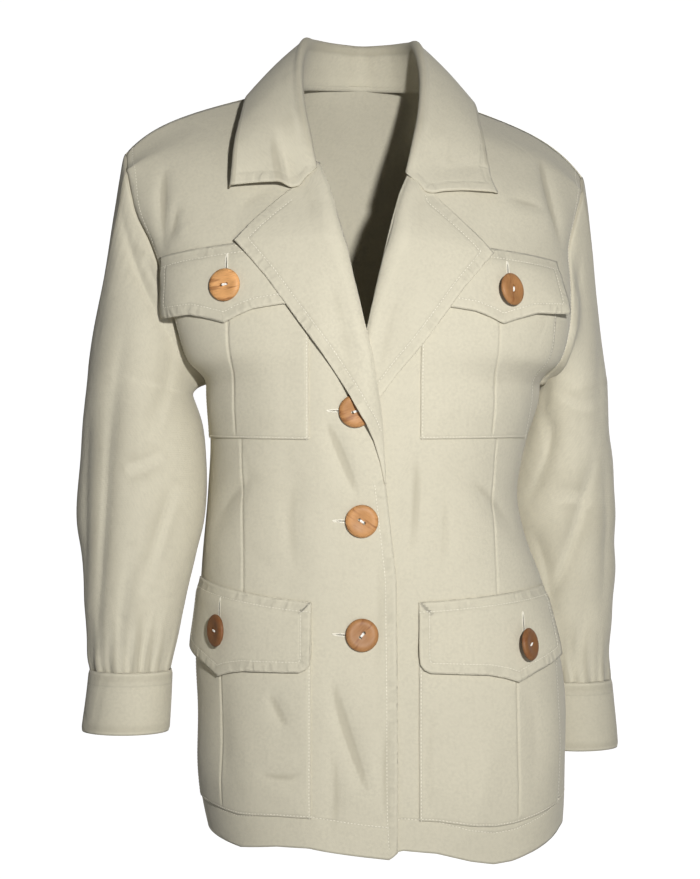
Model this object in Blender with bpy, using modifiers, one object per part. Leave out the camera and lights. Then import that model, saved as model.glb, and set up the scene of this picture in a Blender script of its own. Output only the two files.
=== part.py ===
"""Safari jacket in its worn form: hollow body, set-in sleeves, notched collar and lapels, four flap pockets.

Lengths are in millimetres and become metres when a mesh is made. +Z is up, the jacket faces -Y, and +X is the wearer's
left. The origin is the middle of the neck opening, level with the back neck seam.
"""

import math

import bmesh
import bpy
import numpy as np
from mathutils import Matrix, Vector
from mathutils.bvhtree import BVHTree

NAME = "safari_jacket"
MM = 0.001

# Walls and the gaps between them
WALL = 1.2
COLLAR_WALL = 1.6
FLAP_WALL = 1.6
SEAM_GAP = 0.5
COLLAR_LIFT = 3.4
LAY_GAP = 0.5
OVERLAP_LIFT = WALL + 2 * LAY_GAP

# Buttons: turned wood with two holes
BUTTON_RADIUS = 15.5
BUTTON_HEIGHT = 4.6
BUTTON_SIDES = 16
HOLE_RADIUS = 1.5
HOLE_APART = 5.0
BUTTON_LIFT = {"front": 0.9, "flap": 0.6}

CLOTH_COLOUR = (0.60, 0.55, 0.40)
WOOD_COLOUR = (0.56, 0.22, 0.07)

# Rows of the front, from hem to shoulder line: height, x and y of the middle; then where the row ends at the side seam or
# the armhole, on the wearer's right and on the wearer's left; then roundness and how far the row slopes to its ends
FRONT_ROWS = (
    # z,   x,    y,   right x, y, z,      left x, y, z,      round, slope
    (-735, 0, -127, -138, 5, -727, 190, -7, -733, 2.4, 0.0),
    (-705, 0, -129, -145, 4, -694, 193, -6, -700, 2.4, 0.0),
    (-660, 0, -129, -150, 4, -652, 195, -5, -655, 2.4, 0.0),
    (-600, 0, -126, -151, 3, -590, 195, -4, -594, 2.4, 0.0),
    (-555, 0, -122, -152, 1, -541, 190, -3, -547, 2.4, 0.0),
    (-495, -2, -117, -148, -2, -476, 175, -1, -483, 2.4, 0.0),
    (-440, -5, -114, -144, -6, -428, 158, 3, -432, 2.35, 0.0),
    (-400, -8, -115, -141, -9, -394, 151, 6, -396, 2.3, 0.0),
    (-345, -14, -121, -139, -12, -343, 161, 17, -343, 2.3, 0.0),
    (-302, -19, -127, -142.5, -14, -302, 173.5, 27, -302, 2.3, 0.0),
    (-293, -20, -128, -143, -14, -293, 174, 28, -293, 2.3, 0.0),
    (-262, -23, -131, -158, -48, -272, 189, -10, -272, 2.25, 0.0),
    (-225, -26, -131, -168, -64, -238, 198, -20, -238, 2.2, 0.0),
    (-185, -26, -126, -178, -67, -200, 200, -15, -203, 2.1, 0.0),
    (-150, -22, -117, -191, -62, -165, 199, -3, -168, 2.0, 0.0),
    (-115, -14, -103, -205, -59, -136, 206, 6, -143, 1.8, 0.1),
    (-75, -5, -80, -213, -56, -104, 214, 19, -123, 1.5, 0.4),
    (-4, 2, -12, -216, -45, -88, 217, 35.5, -110, 1.1, 0.7),
    (7, 3, 5, -217, -38, -79, 218, 46, -102, 1.0, 0.75),
)
# The same for the back; its two ends below the armhole are the front's
BACK_ROWS = (
    (-726, 28, 111, -138, 5, -727, 190, -7, -733, 2.3, 0.0),
    (-695, 28, 113, -145, 4, -694, 193, -6, -700, 2.3, 0.0),
    (-655, 28, 113, -150, 4, -652, 195, -5, -655, 2.3, 0.0),
    (-595, 25, 112, -151, 3, -590, 195, -4, -594, 2.3, 0.0),
    (-550, 22, 108, -152, 1, -541, 190, -3, -547, 2.3, 0.0),
    (-490, 16, 98, -148, -2, -476, 175, -1, -483, 2.3, 0.0),
    (-437, 8, 88, -144, -6, -428, 158, 3, -432, 2.3, 0.0),
    (-398, 5, 83, -141, -9, -394, 151, 6, -396, 2.3, 0.0),
    (-345, 6, 89, -139, -12, -343, 161, 17, -343, 2.3, 0.0),
    (-302, 8, 99, -142.5, -14, -302, 173.5, 27, -302, 2.3, 0.0),
    (-293, 8, 100, -143, -14, -293, 174, 28, -293, 2.3, 0.0),
    (-262, 8, 105, -162, 10, -272, 181, 52, -272, 2.4, 0.0),
    (-225, 8, 109, -177, 25, -238, 188, 68, -238, 2.4, 0.0),
    (-185, 8, 111, -187, 29, -200, 195, 75, -203, 2.4, 0.0),
    (-150, 7, 110, -196, 22, -165, 203, 76, -168, 2.3, 0.0),
    (-115, 6, 105, -207, 12, -136, 210, 75, -143, 2.2, 0.1),
    (-75, 5, 95, -214, -2, -104, 216, 70, -122, 2.0, 0.4),
)
ARMPIT_ROW = 10
NECK_RIGHT = (-62, -8, -12)
NECK_LEFT = (64, 18, -12)
NECK_BACK = (4, 57, 0)
CENTRE_FRONT_X = 6

# Distance of the front edge past the centre front, negative where the fronts lap, then of the roll line and neck seam
FRONT_EDGE = (
    # z, distance
    (-735, -29), (-577, -29), (-472, -28), (-418, -22), (-385, -18), (-371, -18), (-328, -15), (-284, -7.5), (-249, 0.5),
    (-184, 15), (-147, 24), (-122, 31), (-98, 41), (-75, 50), (-35, 60), (7, 67),
)

# Heights of the grid rows; pocket and flap edges fall on these
FLAP_CHEST_TOP, POCKET_CHEST_TOP, POCKET_CHEST_LOW = -165, -185, -345
FLAP_LOWER_TOP, POCKET_LOWER_TOP, POCKET_LOWER_LOW = -492, -507, -688
HEM = -718
GRID_ROWS = (HEM, -688, -645, -600, -555, -530, -507, -492, -455, -420, -385, -365, -345, -320, -293, -268,
             -238, -210, -185, -165, -148, -125, -100, -75, -48, -20, 7)
# The hem's own height by distance from the centre front, as it dips and lifts
HEM_LINE = (
    # distance, z
    (-250, -716), (-171, -717), (-120, -719), (-81, -712), (-51, -710), (-4, -716), (22, -719), (31, -711), (64, -715),
    (96, -724), (118, -728), (138, -727), (166, -721), (214, -709), (260, -706),
)

# Distances of the grid columns from the centre front, for the lower and for the chest pocket
LOWER_COLUMNS = (-20, 0, 20, 48, 75, 108, 138, 142, 146, 174, 203)
CHEST_COLUMNS = (-10, 6, 24, 50, 72, 97, 120, 124, 128, 155, 190)
PLEAT_COLUMN = 4
POCKET_FIRST, POCKET_LAST = 4, 11
PLEAT_DEPTH = 0.7
LOWER_ZONE, CHEST_ZONE, SHOULDER_ZONE = -493, -347, -170

# Flap outlines, as distance from the centre front and drop below the chest or lower flap's top edge
CHEST_FLAP = (
    # distance, drop
    (50, 59), (74, 59), (99, 61), (113, 65), (126, 70), (139, 65), (160, 57), (180, 55), (196, 53),
)
LOWER_FLAP = (
    (48, 50), (51, 57), (58, 62), (82, 64), (112, 67), (128, 70), (142, 75), (163, 66), (183, 57), (203, 48),
)
FLAP_RUN = 5

# Lapel outlines in front-surface terms: height, distance of the roll line, distance of the outer edge
LAPEL_ROWS = (
    # z, roll, outer edge
    (-385, -18, -17), (-365, -17.5, -13), (-345, -16, -7), (-329, -15, 0), (-304, -11, 15), (-272, -6, 37), (-245, 1, 57.5),
    (-222, 6, 74), (-202, 11, 88), (-176, 16.5, 109), (-167, 19.5, 117), (-150, 24.5, 100), (-135, 28, 83), (-120, 32.5, 65),
    (-112, 35.5, 54), (-104, 38.5, 45),
)
LAPEL_COLUMNS = 9
# The rows from this one on are added to the front's own
LAPEL_POINT = 10
LAPEL_RISE = (
    # z, rise of the outer part over pocket and flap
    (-385, 0), (-320, 0.5), (-285, 2.2), (-255, 4.6), (-160, 4.6), (-125, 1.6),
)
# The right lapel rides over the top button: distance, z, half width, half height, rise
BUTTON_BUMP = (9, -321, 18, 27, 10.8)

# Collar stations from the front end to the back: neck seam, roll and outer edge
COLLAR_STATIONS = (
    # seam x, y, z,      roll x, y, z,      outer x, y, z
    (-47, -90, -85, -42, -104, -88, -124, -82, -116),
    (-51, -76, -68, -47, -92, -70, -121, -84, -101),
    (-57, -54, -46, -54, -68, -32, -116, -76, -78),
    (-60, -30, -25, -56, -40, 3, -112, -55, -52),
    (-60, -6, -11, -52, -8, 31, -107, -18, -26),
    (-53, 20, -5, -44, 18, 36, -98, 30, -27),
    (-36, 43, -1, -29, 36, 37, -75, 72, -35),
    (-14, 56, 1, -10, 46, 37, -34, 97, -41),
)
COLLAR_CENTRE = (4, 60, 2, 2, 49, 37, 6, 103, -43)
COLLAR_MIDDLE_X = 3
COLLAR_TURN = 0.17
# The profile's points from this one on are the fall
FALL_FROM = 3
# How far the front end drops into the notch, and how much of that each point from the fall's first takes
NOTCH_DROP = (0, -7, -22)
NOTCH_SHARES = (0.0, 0.45, 1.0, 0.72, 0.36, 0.0)
# How far the fall rounds up between its roll and its edge, from the front end to the back
COLLAR_BOWS = (3, 4, 6, 8, 9, 9, 8, 7, 7)

# Sleeve rings below the armhole: middle x, y, z, half width, half depth, lean of the ring (rise to the outside)
SLEEVE_RIGHT = (
    (-205, -17, -290, 48, 60, 14), (-202, -22, -327, 55, 60, 6), (-201, -28, -365, 57, 60, 2),
    (-203, -34, -417, 58, 57, 0), (-205, -40, -450, 53, 53, 0), (-207, -46, -487, 47, 48, 0),
    (-208, -52, -523, 42, 43, 0), (-210, -55, -545, 39, 39, 0), (-210, -57, -557, 36.5, 36.5, 0),
)
SLEEVE_LEFT = (
    (206, 70, -300, 38, 54, 12), (203, 76, -335, 43, 56, 6), (201, 82, -370, 50, 57, 2),
    (200, 88, -420, 54, 56, 0), (202, 92, -452, 52, 53, 0), (205, 94, -490, 48, 48, 0),
    (208, 95, -528, 44, 43, 0), (211, 96, -565, 40, 39, 0), (213, 96, -583, 37.5, 37.5, 0),
)
CUFF_RIGHT = ((-210, -57, -557, 36.5), (-212, -60, -585, 37.5), (-214, -62, -612, 38.5))
CUFF_LEFT = ((213, 96, -583, 37.5), (216, 98, -617, 38.0), (219, 100, -650, 38.5))
RING_POINTS = 24
CAP_RINGS = 6

# Large folds: start and end as distance from the centre front (plus to the wearer's left) and height, width, depth
BODY_FOLDS = (
    (-20, -410, -48, -330, 16, 2.0), (18, -450, 10, -560, 18, 2.4), (20, -690, -12, -560, 20, 3.0),
    (-165, -150, -160, -85, 14, 2.5), (150, -125, 178, -215, 14, 2.5), (-190, -420, -120, -395, 20, 3.0),
    (190, -430, 120, -400, 20, 3.0), (110, -700, 130, -600, 20, -5.0),
)
# Sleeve folds: start and end as turn in degrees (0 outside, 90 front) and height, width in mm, depth
SLEEVE_FOLDS = (
    (60, -250, 120, -370, 13, 3.0), (75, -190, 95, -270, 11, 2.5), (20, -340, 10, -540, 13, 3.0),
    (110, -405, 60, -425, 13, 3.5), (130, -430, 95, -520, 14, 3.0), (200, -400, 250, -420, 15, 3.5),
    (280, -330, 300, -500, 15, 3.0), (250, -250, 230, -330, 14, 3.0),
)
SLEEVE_GATHERS = 9
GATHER_DEPTH = 1.8


def smooth(knots, values, at):
    """Smooth curve through the values at the knots, read at one or more places."""
    knots, values = np.asarray(knots, float), np.asarray(values, float)
    at = np.clip(np.asarray(at, float), knots[0], knots[-1])
    slope = np.gradient(values, knots, axis=0)
    low = np.clip(np.searchsorted(knots, at, side="right") - 1, 0, len(knots) - 2)
    span = knots[low + 1] - knots[low]
    t = (at - knots[low]) / span
    shape = (-1,) + (1,) * (values.ndim - 1) if np.ndim(at) else ()
    t, span = np.reshape(t, shape), np.reshape(span, shape)
    return ((2 * t**3 - 3 * t**2 + 1) * values[low] + (t**3 - 2 * t**2 + t) * span * slope[low]
            + (3 * t**2 - 2 * t**3) * values[low + 1] + (t**3 - t**2) * span * slope[low + 1])


def lengths_along(points):
    return np.concatenate([[0.0], np.cumsum(np.linalg.norm(np.diff(points, axis=0), axis=1))])


def even(points, count):
    """The same line with its points evenly spaced."""
    run = lengths_along(points)
    place = np.linspace(0, run[-1], count)
    return np.stack([np.interp(place, run, points[:, axis]) for axis in range(3)], axis=1)


def half_arc(middle, end, roundness, slope, count=90):
    """From the middle of a row to one of its ends, as a quarter of a rounded box."""
    turn = np.linspace(0, math.pi / 2, count)
    across = np.sin(turn) ** (2 / roundness) if roundness > 1 else np.linspace(0, 1, count)
    rise = slope * across + (1 - slope) * across ** (2 + 8 * slope)
    depth = (1 - across**roundness).clip(0) ** (1 / roundness)
    x = middle[0] + (end[0] - middle[0]) * across
    y = end[1] + (middle[1] - end[1]) * depth
    z = middle[2] + (end[2] - middle[2]) * rise
    return np.stack([x, y, z], axis=1)


class Cloth:
    """The surface that panels are cut from: rows of points, read by distance from the centre line and by height."""

    def __init__(self, heights, rows, centre_x, samples=161):
        self.heights = np.asarray(heights, float)
        self.rows = np.stack([even(row, samples) for row in rows])
        self.length = np.array([lengths_along(row)[-1] for row in self.rows])
        self.centre = np.array([np.interp(centre_x, row[:, 0], np.linspace(0, 1, samples)) for row in self.rows])
        self.samples = samples

    def reach(self, height, side):
        """Distance from the centre line to the end of the row."""
        length = smooth(self.heights, self.length, height)
        centre = smooth(self.heights, self.centre, height)
        return length * (centre if side < 0 else 1 - centre)

    def part(self, share, height):
        place = np.clip(share, 0, 1) * (self.samples - 1)
        low = np.minimum(place.astype(int), self.samples - 2)
        blend = (place - low)[..., None]
        points = self.rows[:, low] * (1 - blend) + self.rows[:, low + 1] * blend
        result = [smooth(self.heights, points[:, index], height[index]) for index in range(len(height))]
        return np.array(result)

    def at(self, distance, height):
        distance, height = np.asarray(distance, float).ravel(), np.asarray(height, float).ravel()
        share = smooth(self.heights, self.centre, height) + distance / smooth(self.heights, self.length, height)
        return self.part(share, height)

    def lifted(self, distance, height, lift):
        """Points moved outwards along the surface's own normal."""
        distance, height = np.asarray(distance, float).ravel(), np.asarray(height, float).ravel()
        top, low = min(self.heights[-1], 7), self.heights[0]
        across = self.at(distance + 2, height) - self.at(distance - 2, height)
        up = self.at(distance, np.minimum(height + 2, top)) - self.at(distance, np.maximum(height - 2, low))
        normal = np.cross(across, up)
        normal /= np.maximum(np.linalg.norm(normal, axis=1), 1e-9)[:, None]
        return self.at(distance, height) + normal * np.asarray(lift, float).reshape(-1, 1)


def row_points(row):
    z, x, y, right_x, right_y, right_z, left_x, left_y, left_z, roundness, slope = row
    to_right = half_arc((x, y, z), (right_x, right_y, right_z), roundness, slope)
    to_left = half_arc((x, y, z), (left_x, left_y, left_z), roundness, slope)
    return np.concatenate([to_right[::-1], to_left[1:]])


def back_top_row(shoulder, away=0.0, down=0.0):
    """The back's top edge, the shoulder seams and the neck curve between them, or a row a little below it."""
    right = shoulder[shoulder[:, 0] < NECK_RIGHT[0]]
    left = shoulder[shoulder[:, 0] > NECK_LEFT[0]]
    turn = np.linspace(0, math.pi, 41)[1:-1]
    middle = (np.array(NECK_RIGHT, float) + NECK_LEFT) / 2
    out = (np.array(NECK_LEFT, float) - NECK_RIGHT) / 2
    back = np.array(NECK_BACK, float) - middle
    neck = middle - np.cos(turn)[:, None] * out + np.sin(turn)[:, None] ** 0.8 * back
    row = np.concatenate([right, neck, left])
    at_neck = np.exp(-((row[:, 0] - middle[0]) / 58) ** 4)
    row[:, 1] += away * (1 - 0.55 * at_neck)
    at_tip = (abs(row[:, 0]) / abs(row[0, 0])) ** 8
    row[:, 2] -= down * (1 + 2.6 * at_neck + 2.2 * at_tip)
    return row


FRONT = Cloth([row[0] for row in FRONT_ROWS], [row_points(row) for row in FRONT_ROWS], CENTRE_FRONT_X)
SHOULDER = row_points(FRONT_ROWS[-1])
BACK_TOP = [back_top_row(SHOULDER, 14, 3), back_top_row(SHOULDER)]
BACK = Cloth([row[0] for row in FRONT_ROWS], [row_points(row) for row in BACK_ROWS] + BACK_TOP, 5)


def fold_lift(distance, height, folds):
    """Soft troughs and ridges: how far each point moves out of the cloth, in mm."""
    lift = np.zeros(len(distance))
    for x0, z0, x1, z1, width, depth in folds:
        run = np.array([x1 - x0, z1 - z0], float)
        away = np.stack([distance - x0, height - z0], axis=1)
        along = np.clip(away @ run / (run @ run), 0, 1)
        gap = np.linalg.norm(away - along[:, None] * run, axis=1)
        lift -= depth * np.exp(-((gap / width) ** 2)) * (0.35 + 0.65 * np.sin(math.pi * along))
    return lift


def edge_distance(height):
    table = np.array(FRONT_EDGE, float)
    return np.interp(height, table[:, 0], table[:, 1])


def blend(low, high, value):
    t = min(max((value - low) / (high - low), 0.0), 1.0)
    return t * t * (3 - 2 * t)


def columns(height, side):
    """Distances of a front panel's columns at one height, from its front edge to the side."""
    inner = edge_distance(height)
    outer = FRONT.reach(height, side) - SEAM_GAP / 2
    to_chest = blend(LOWER_ZONE, CHEST_ZONE, height)
    fixed = np.array(LOWER_COLUMNS) * (1 - to_chest) + np.array(CHEST_COLUMNS) * to_chest
    fixed = fixed * min(1.0, (outer - 7) / fixed[-1])
    to_even = blend(SHOULDER_ZONE, -120, height)
    spread = inner + (outer - inner) * np.arange(1, len(fixed) + 1) / (len(fixed) + 2)
    fixed = fixed * (1 - to_even) + spread * to_even
    fixed = np.maximum(fixed, inner + 3 * np.arange(1, len(fixed) + 1))
    return np.concatenate([[inner], fixed, [(fixed[-1] + outer) / 2, outer]])


def overlap_lift(distance, height, side):
    """The wearer's right front is lifted over the left one and over its lapel where they lap."""
    if side > 0:
        return 0.0
    near = blend(-75, -34, -distance)
    under_lapel = blend(-420, -385, height)
    above = blend(-215, -250, height)
    return near * above * (OVERLAP_LIFT + under_lapel * (WALL + LAY_GAP))


def row_level(distance, height):
    """A row keeps its height, but for the hem, which has its own line."""
    if height == HEM:
        return np.interp(distance, *np.array(HEM_LINE, float).T)
    return np.full(len(distance), float(height))


def front_grid(side, rows, first, last, lift):
    """Points of a piece cut on a front panel's own columns and rows."""
    grid = []
    for height in rows:
        distance = columns(height, side)[first:last]
        raised = [lift + overlap_lift(d, height, side) for d in distance]
        level = row_level(distance * side, height)
        folds = fold_lift(distance * side, level, BODY_FOLDS)
        grid.append(FRONT.lifted(distance * side, level, np.array(raised) + folds))
    return np.array(grid)


def cloth_material(name, colour, roughness):
    material = bpy.data.materials.new(name)
    material.use_nodes = True
    shader = material.node_tree.nodes["Principled BSDF"]
    shader.inputs["Base Color"].default_value = (*colour, 1)
    shader.inputs["Roughness"].default_value = roughness
    shader.inputs["Metallic"].default_value = 0.0
    return material


def place(name, mesh, colour=CLOTH_COLOUR, roughness=0.85):
    mesh.materials.append(cloth_material(name, colour, roughness))
    mesh.shade_smooth()
    mesh.set_sharp_from_angle(angle=math.radians(40))
    piece = bpy.data.objects.new(name, mesh)
    bpy.data.collections[NAME].objects.link(piece)
    return piece


def grid_normals(grid, closed):
    """Outward or inward normals of a grid's points, from their neighbours."""
    if closed:
        across = np.roll(grid, -1, axis=1) - np.roll(grid, 1, axis=1)
    else:
        across = np.gradient(grid, axis=1)
    normal = np.cross(across, np.gradient(grid, axis=0))
    return normal / np.maximum(np.linalg.norm(normal, axis=2), 1e-9)[:, :, None]


def sheet(name, grid, wall=WALL, closed=False, flip=False, seams=(), grooves=()):
    """A cloth wall lofted between the grid's outer points and inner ones, which lie one thickness below them.

    A seam is a part of the grid and the direction that its wall takes, so that two pieces that meet there keep clear.
    A groove is a column and the depth by which it is pressed into the outside alone."""
    normal = grid_normals(grid, closed) * (-1 if flip else 1)
    for rows, points, direction in seams:
        normal[rows, points] = direction
    inner = grid - normal * wall
    for column, depth in grooves:
        grid[:, column] -= normal[:, column] * depth
    count = grid.shape[1]
    shape = bmesh.new()
    outside, inside = ([[shape.verts.new(Vector(point) * MM) for point in row] for row in layer] for layer in (grid, inner))
    steps = range(count if closed else count - 1)

    def join(first, second, third, fourth):
        corners = [first, second, third, fourth]
        shape.faces.new(corners[::-1] if flip else corners)

    for low, high, low_in, high_in in zip(outside, outside[1:], inside, inside[1:]):
        for index in steps:
            after = (index + 1) % count
            join(low[index], low[after], high[after], high[index])
            join(low_in[after], low_in[index], high_in[index], high_in[after])
        if not closed:
            join(low[-1], low_in[-1], high_in[-1], high[-1])
            join(high[0], high_in[0], low_in[0], low[0])
    for index in steps:
        after = (index + 1) % count
        join(outside[0][after], outside[0][index], inside[0][index], inside[0][after])
        join(outside[-1][index], outside[-1][after], inside[-1][after], inside[-1][index])
    bmesh.ops.triangulate(shape, faces=shape.faces)
    mesh = bpy.data.meshes.new(name)
    shape.to_mesh(mesh)
    shape.free()
    return place(name, mesh)


BELOW_ARMHOLE = slice(0, GRID_ROWS.index(-293) + 1)


def make_fronts():
    for side, name in ((-1, "front_right"), (1, "front_left")):
        seams = ((BELOW_ARMHOLE, -1, (side, 0, 0)), (-1, slice(None), (0, 0, 1)))
        sheet(name, front_grid(side, GRID_ROWS, 0, None, 0.0), flip=side < 0, seams=seams)


def make_back():
    grid = []
    shares = np.concatenate([np.linspace(0, 0.3, 6)[:-1], np.linspace(0.3, 0.7, 7), np.linspace(0.7, 1, 6)[1:]])
    trim = SEAM_GAP / 2 / BACK.length.mean()
    for height in GRID_ROWS:
        ends = np.array([-230, 250]) if height == HEM else np.zeros(2)
        level = np.interp(shares, (0, 1), row_level(ends, height))
        grid.append(BACK.part(np.clip(shares, trim, 1 - trim), level))
    grid = np.array(grid)
    grid[:, :, 1] += SEAM_GAP / 2
    grid[-1, :, 1] += SEAM_GAP / 2
    shoulder = np.abs(grid[-1, :, 0]) > NECK_LEFT[0] - 1
    seams = ((BELOW_ARMHOLE, 0, (-1, 0, 0)), (BELOW_ARMHOLE, -1, (1, 0, 0)), (-1, shoulder, (0, 0, 1)))
    sheet("back", grid, flip=True, seams=seams)


def rows_between(low, high):
    return [height for height in GRID_ROWS if low <= height <= high]


def make_pockets():
    kinds = (
        ("pocket_chest", rows_between(POCKET_CHEST_LOW, POCKET_CHEST_TOP)),
        ("pocket_lower", rows_between(POCKET_LOWER_LOW, POCKET_LOWER_TOP)),
    )
    for kind, rows in kinds:
        for side, word in ((-1, "right"), (1, "left")):
            grid = front_grid(side, rows, POCKET_FIRST, POCKET_LAST + 1, LAY_GAP + WALL)
            sheet(f"{kind}_{word}", grid, flip=side < 0, grooves=[(PLEAT_COLUMN, PLEAT_DEPTH)])


def flap_points(side, top, outline, lift):
    """A flap hangs from its top row; its lower edge follows the outline."""
    outline = np.array(outline, float)
    reach = columns(top, side)[-1] - 4
    distance = outline[:, 0] * min(1.0, reach / outline[-1, 0])
    grid = []
    for step in np.linspace(1, 0, FLAP_RUN):
        height = top - outline[:, 1] * step
        folds = fold_lift(distance * side, height, BODY_FOLDS)
        raised = np.array([overlap_lift(d, top, side) for d in distance])
        grid.append(FRONT.lifted(distance * side, height, lift + folds + raised))
    return np.array(grid)


FLAP_LIFT = 2 * LAY_GAP + WALL + 0.5 + FLAP_WALL


def make_flaps():
    kinds = (("flap_chest", FLAP_CHEST_TOP, CHEST_FLAP), ("flap_lower", FLAP_LOWER_TOP, LOWER_FLAP))
    for kind, top, outline in kinds:
        for side, word in ((-1, "right"), (1, "left")):
            sheet(f"{kind}_{word}", flap_points(side, top, outline, FLAP_LIFT), FLAP_WALL, flip=side < 0)


def lapel_points(side, lift):
    table = np.array(LAPEL_ROWS, float)
    heights = sorted({*rows_between(-385, -121), *table[LAPEL_POINT:, 0], -222.0})
    grid = []
    for height in heights:
        roll, outer = (np.interp(height, table[:, 0], table[:, column]) for column in (1, 2))
        distance = roll + (outer - roll) * np.linspace(0, 1, LAPEL_COLUMNS)
        level = np.full(LAPEL_COLUMNS, float(height))
        folds = fold_lift(distance * side, level, BODY_FOLDS)
        rise = np.interp(height, *np.array(LAPEL_RISE, float).T)
        raised = np.array([overlap_lift(d, height, side) + rise * blend(12, 42, d) for d in distance])
        if side < 0:
            d0, z0, wide, tall, over = BUTTON_BUMP
            raised += over * np.exp(-(((distance - d0) / wide) ** 2) - ((height - z0) / tall) ** 2)
        grid.append(FRONT.lifted(distance * side, level, lift + folds + raised))
    return np.array(grid)


def make_lapels():
    for side, name in ((-1, "lapel_right"), (1, "lapel_left")):
        sheet(name, lapel_points(side, LAY_GAP + WALL + 0.2), flip=side < 0)


def collar_station(row, side):
    points = np.array(row, float).reshape(3, 3)
    points[:, 0] = COLLAR_MIDDLE_X - side * points[:, 0]
    points[:, 1] += COLLAR_TURN * points[:, 0]
    return points


def collar_profile(seam, roll, outer, bow):
    """Across the collar: up the stand, over the roll and down the fall."""
    up = (roll - seam) / max(np.linalg.norm(roll - seam), 1e-6)
    away = outer - roll
    away /= np.linalg.norm(away)
    crown = roll + up * 1.5 + away * 2.5
    fall = [roll + (outer - roll) * t + np.array([0, 0, bow * math.sin(math.pi * t)]) for t in (0.12, 0.34, 0.56, 0.78, 1)]
    return np.array([seam, seam + (roll - seam) * 0.55, roll - away * 0.5, crown, *fall])


def surface_tree():
    """The body's cloth as one finely divided surface, to lay the collar on."""
    points, faces = [], []
    for cloth, sign in ((FRONT, -1), (BACK, 1)):
        heights = np.linspace(-300, 7, 60)
        shares = np.linspace(0, 1, 80)
        start = len(points)
        for height in heights:
            points.extend(cloth.part(shares, np.full(len(shares), height)))
        for row in range(len(heights) - 1):
            for index in range(len(shares) - 1):
                a = start + row * len(shares) + index
                corners = [a, a + 1, a + 1 + len(shares), a + len(shares)]
                faces.append(corners if sign < 0 else corners[::-1])
    return BVHTree.FromPolygons([Vector(point) for point in points], faces)


def laid(points, tree, gap):
    """A strip of points kept at least the gap outside the cloth; its last point, the edge, lies just there."""
    moved = []
    for index, point in enumerate(points):
        spot, normal, _, _ = tree.find_nearest(Vector(point))
        height = (Vector(point) - spot).dot(normal)
        rests = height < gap or index == len(points) - 1
        moved.append(np.array(spot + normal * gap) if rests else point)
    return np.array(moved)


def make_collar():
    left = [collar_station(row, 1) for row in COLLAR_STATIONS]
    right = [collar_station(row, -1) for row in COLLAR_STATIONS]
    middle = np.array(COLLAR_CENTRE, float).reshape(3, 3)
    stations = left + [middle] + right[::-1]
    steps = np.linspace(0, len(stations) - 1, 2 * len(stations) - 1)
    bows = smooth(range(len(stations)), COLLAR_BOWS + COLLAR_BOWS[-2::-1], steps)
    stations = smooth(range(len(stations)), np.array(stations), steps)
    grid = [collar_profile(*station, bow) for station, bow in zip(stations, bows)]
    for end, share in ((0, 1.0), (1, 0.35), (-2, 0.35), (-1, 1.0)):
        grid[end][FALL_FROM:] += np.outer(NOTCH_SHARES, NOTCH_DROP) * share
    tree = surface_tree()
    folded = [np.vstack([row[:FALL_FROM], laid(row[FALL_FROM:], tree, COLLAR_LIFT)]) for row in grid]
    sheet("collar", np.array(folded), COLLAR_WALL, flip=True)


def ring(middle_x, middle_y, middle_z, half_width, half_depth, lean, side):
    """A sleeve ring, starting on the outside and turning by the front."""
    turn = np.linspace(0, 2 * math.pi, RING_POINTS, endpoint=False)
    x = middle_x + side * half_width * np.cos(turn)
    y = middle_y - half_depth * np.sin(turn)
    z = middle_z + lean * np.cos(turn)
    return np.stack([x, y, z], axis=1)


def armhole(side):
    """The armhole's loop from the shoulder tip down the front, under the arm and up the back."""
    column = 0 if side < 0 else -1
    front = [FRONT.rows[index][column] for index in range(len(FRONT_ROWS) - 1, ARMPIT_ROW - 1, -1)]
    back = [BACK.rows[index][column] for index in range(ARMPIT_ROW + 1, len(FRONT_ROWS) - 1)]
    loop = np.array(front + back + [front[0]])
    knots = lengths_along(loop)
    fine = smooth(knots, loop, np.linspace(0, knots[-1], 400))
    return even(fine, RING_POINTS + 1)[:-1]


def sleeve_rings(side, table):
    """Rings from the armhole over the sleeve cap, then down the arm."""
    start = armhole(side) + np.array([side * SEAM_GAP, 0, 0])
    first = ring(*table[0], side)
    span = np.linalg.norm(first - start, axis=1)[:, None]
    upper = (0.5 + 0.5 * np.cos(np.linspace(0, 2 * math.pi, RING_POINTS, endpoint=False)))[:, None]
    leave = upper * np.array([side * 0.45, 0, -0.9]) + (1 - upper) * np.array([side * 1.0, 0, -0.1])
    arrive = np.array([0, 0, -1.0])
    rings = []
    for t in np.linspace(0, 1, CAP_RINGS + 1)[:-1]:
        rings.append((2 * t**3 - 3 * t**2 + 1) * start + (t**3 - 2 * t**2 + t) * span * leave
                     + (3 * t**2 - 2 * t**3) * first + (t**3 - t**2) * span * arrive)
    table = np.array(table, float)
    knots = np.arange(len(table))
    for step in np.linspace(0, len(table) - 1, 13):
        rings.append(ring(*smooth(knots, table, step), side))
    return np.array(rings)


def fold_sleeve(rings, side):
    """Troughs and gathers press the rings inwards."""
    turn = np.degrees(np.linspace(0, 2 * math.pi, RING_POINTS, endpoint=False))
    folded = rings.copy()
    for index in range(1, len(rings) - 1):
        middle = rings[index].mean(axis=0)
        outwards = rings[index] - middle
        reach = np.linalg.norm(outwards, axis=1)
        around = turn * math.pi / 180 * reach.mean()
        table = [(a * math.pi / 180 * reach.mean(), z0, b * math.pi / 180 * reach.mean(), z1, width, depth)
                 for a, z0, b, z1, width, depth in SLEEVE_FOLDS]
        lift = fold_lift(around, rings[index][:, 2], table)
        near_cuff = max(0.0, 1 - (middle[2] - rings[-1].mean(axis=0)[2]) / 60)
        lift -= GATHER_DEPTH * near_cuff * (1 + np.cos(np.radians(turn) * SLEEVE_GATHERS))
        folded[index] = rings[index] + outwards / reach[:, None] * lift[:, None]
    return folded


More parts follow.
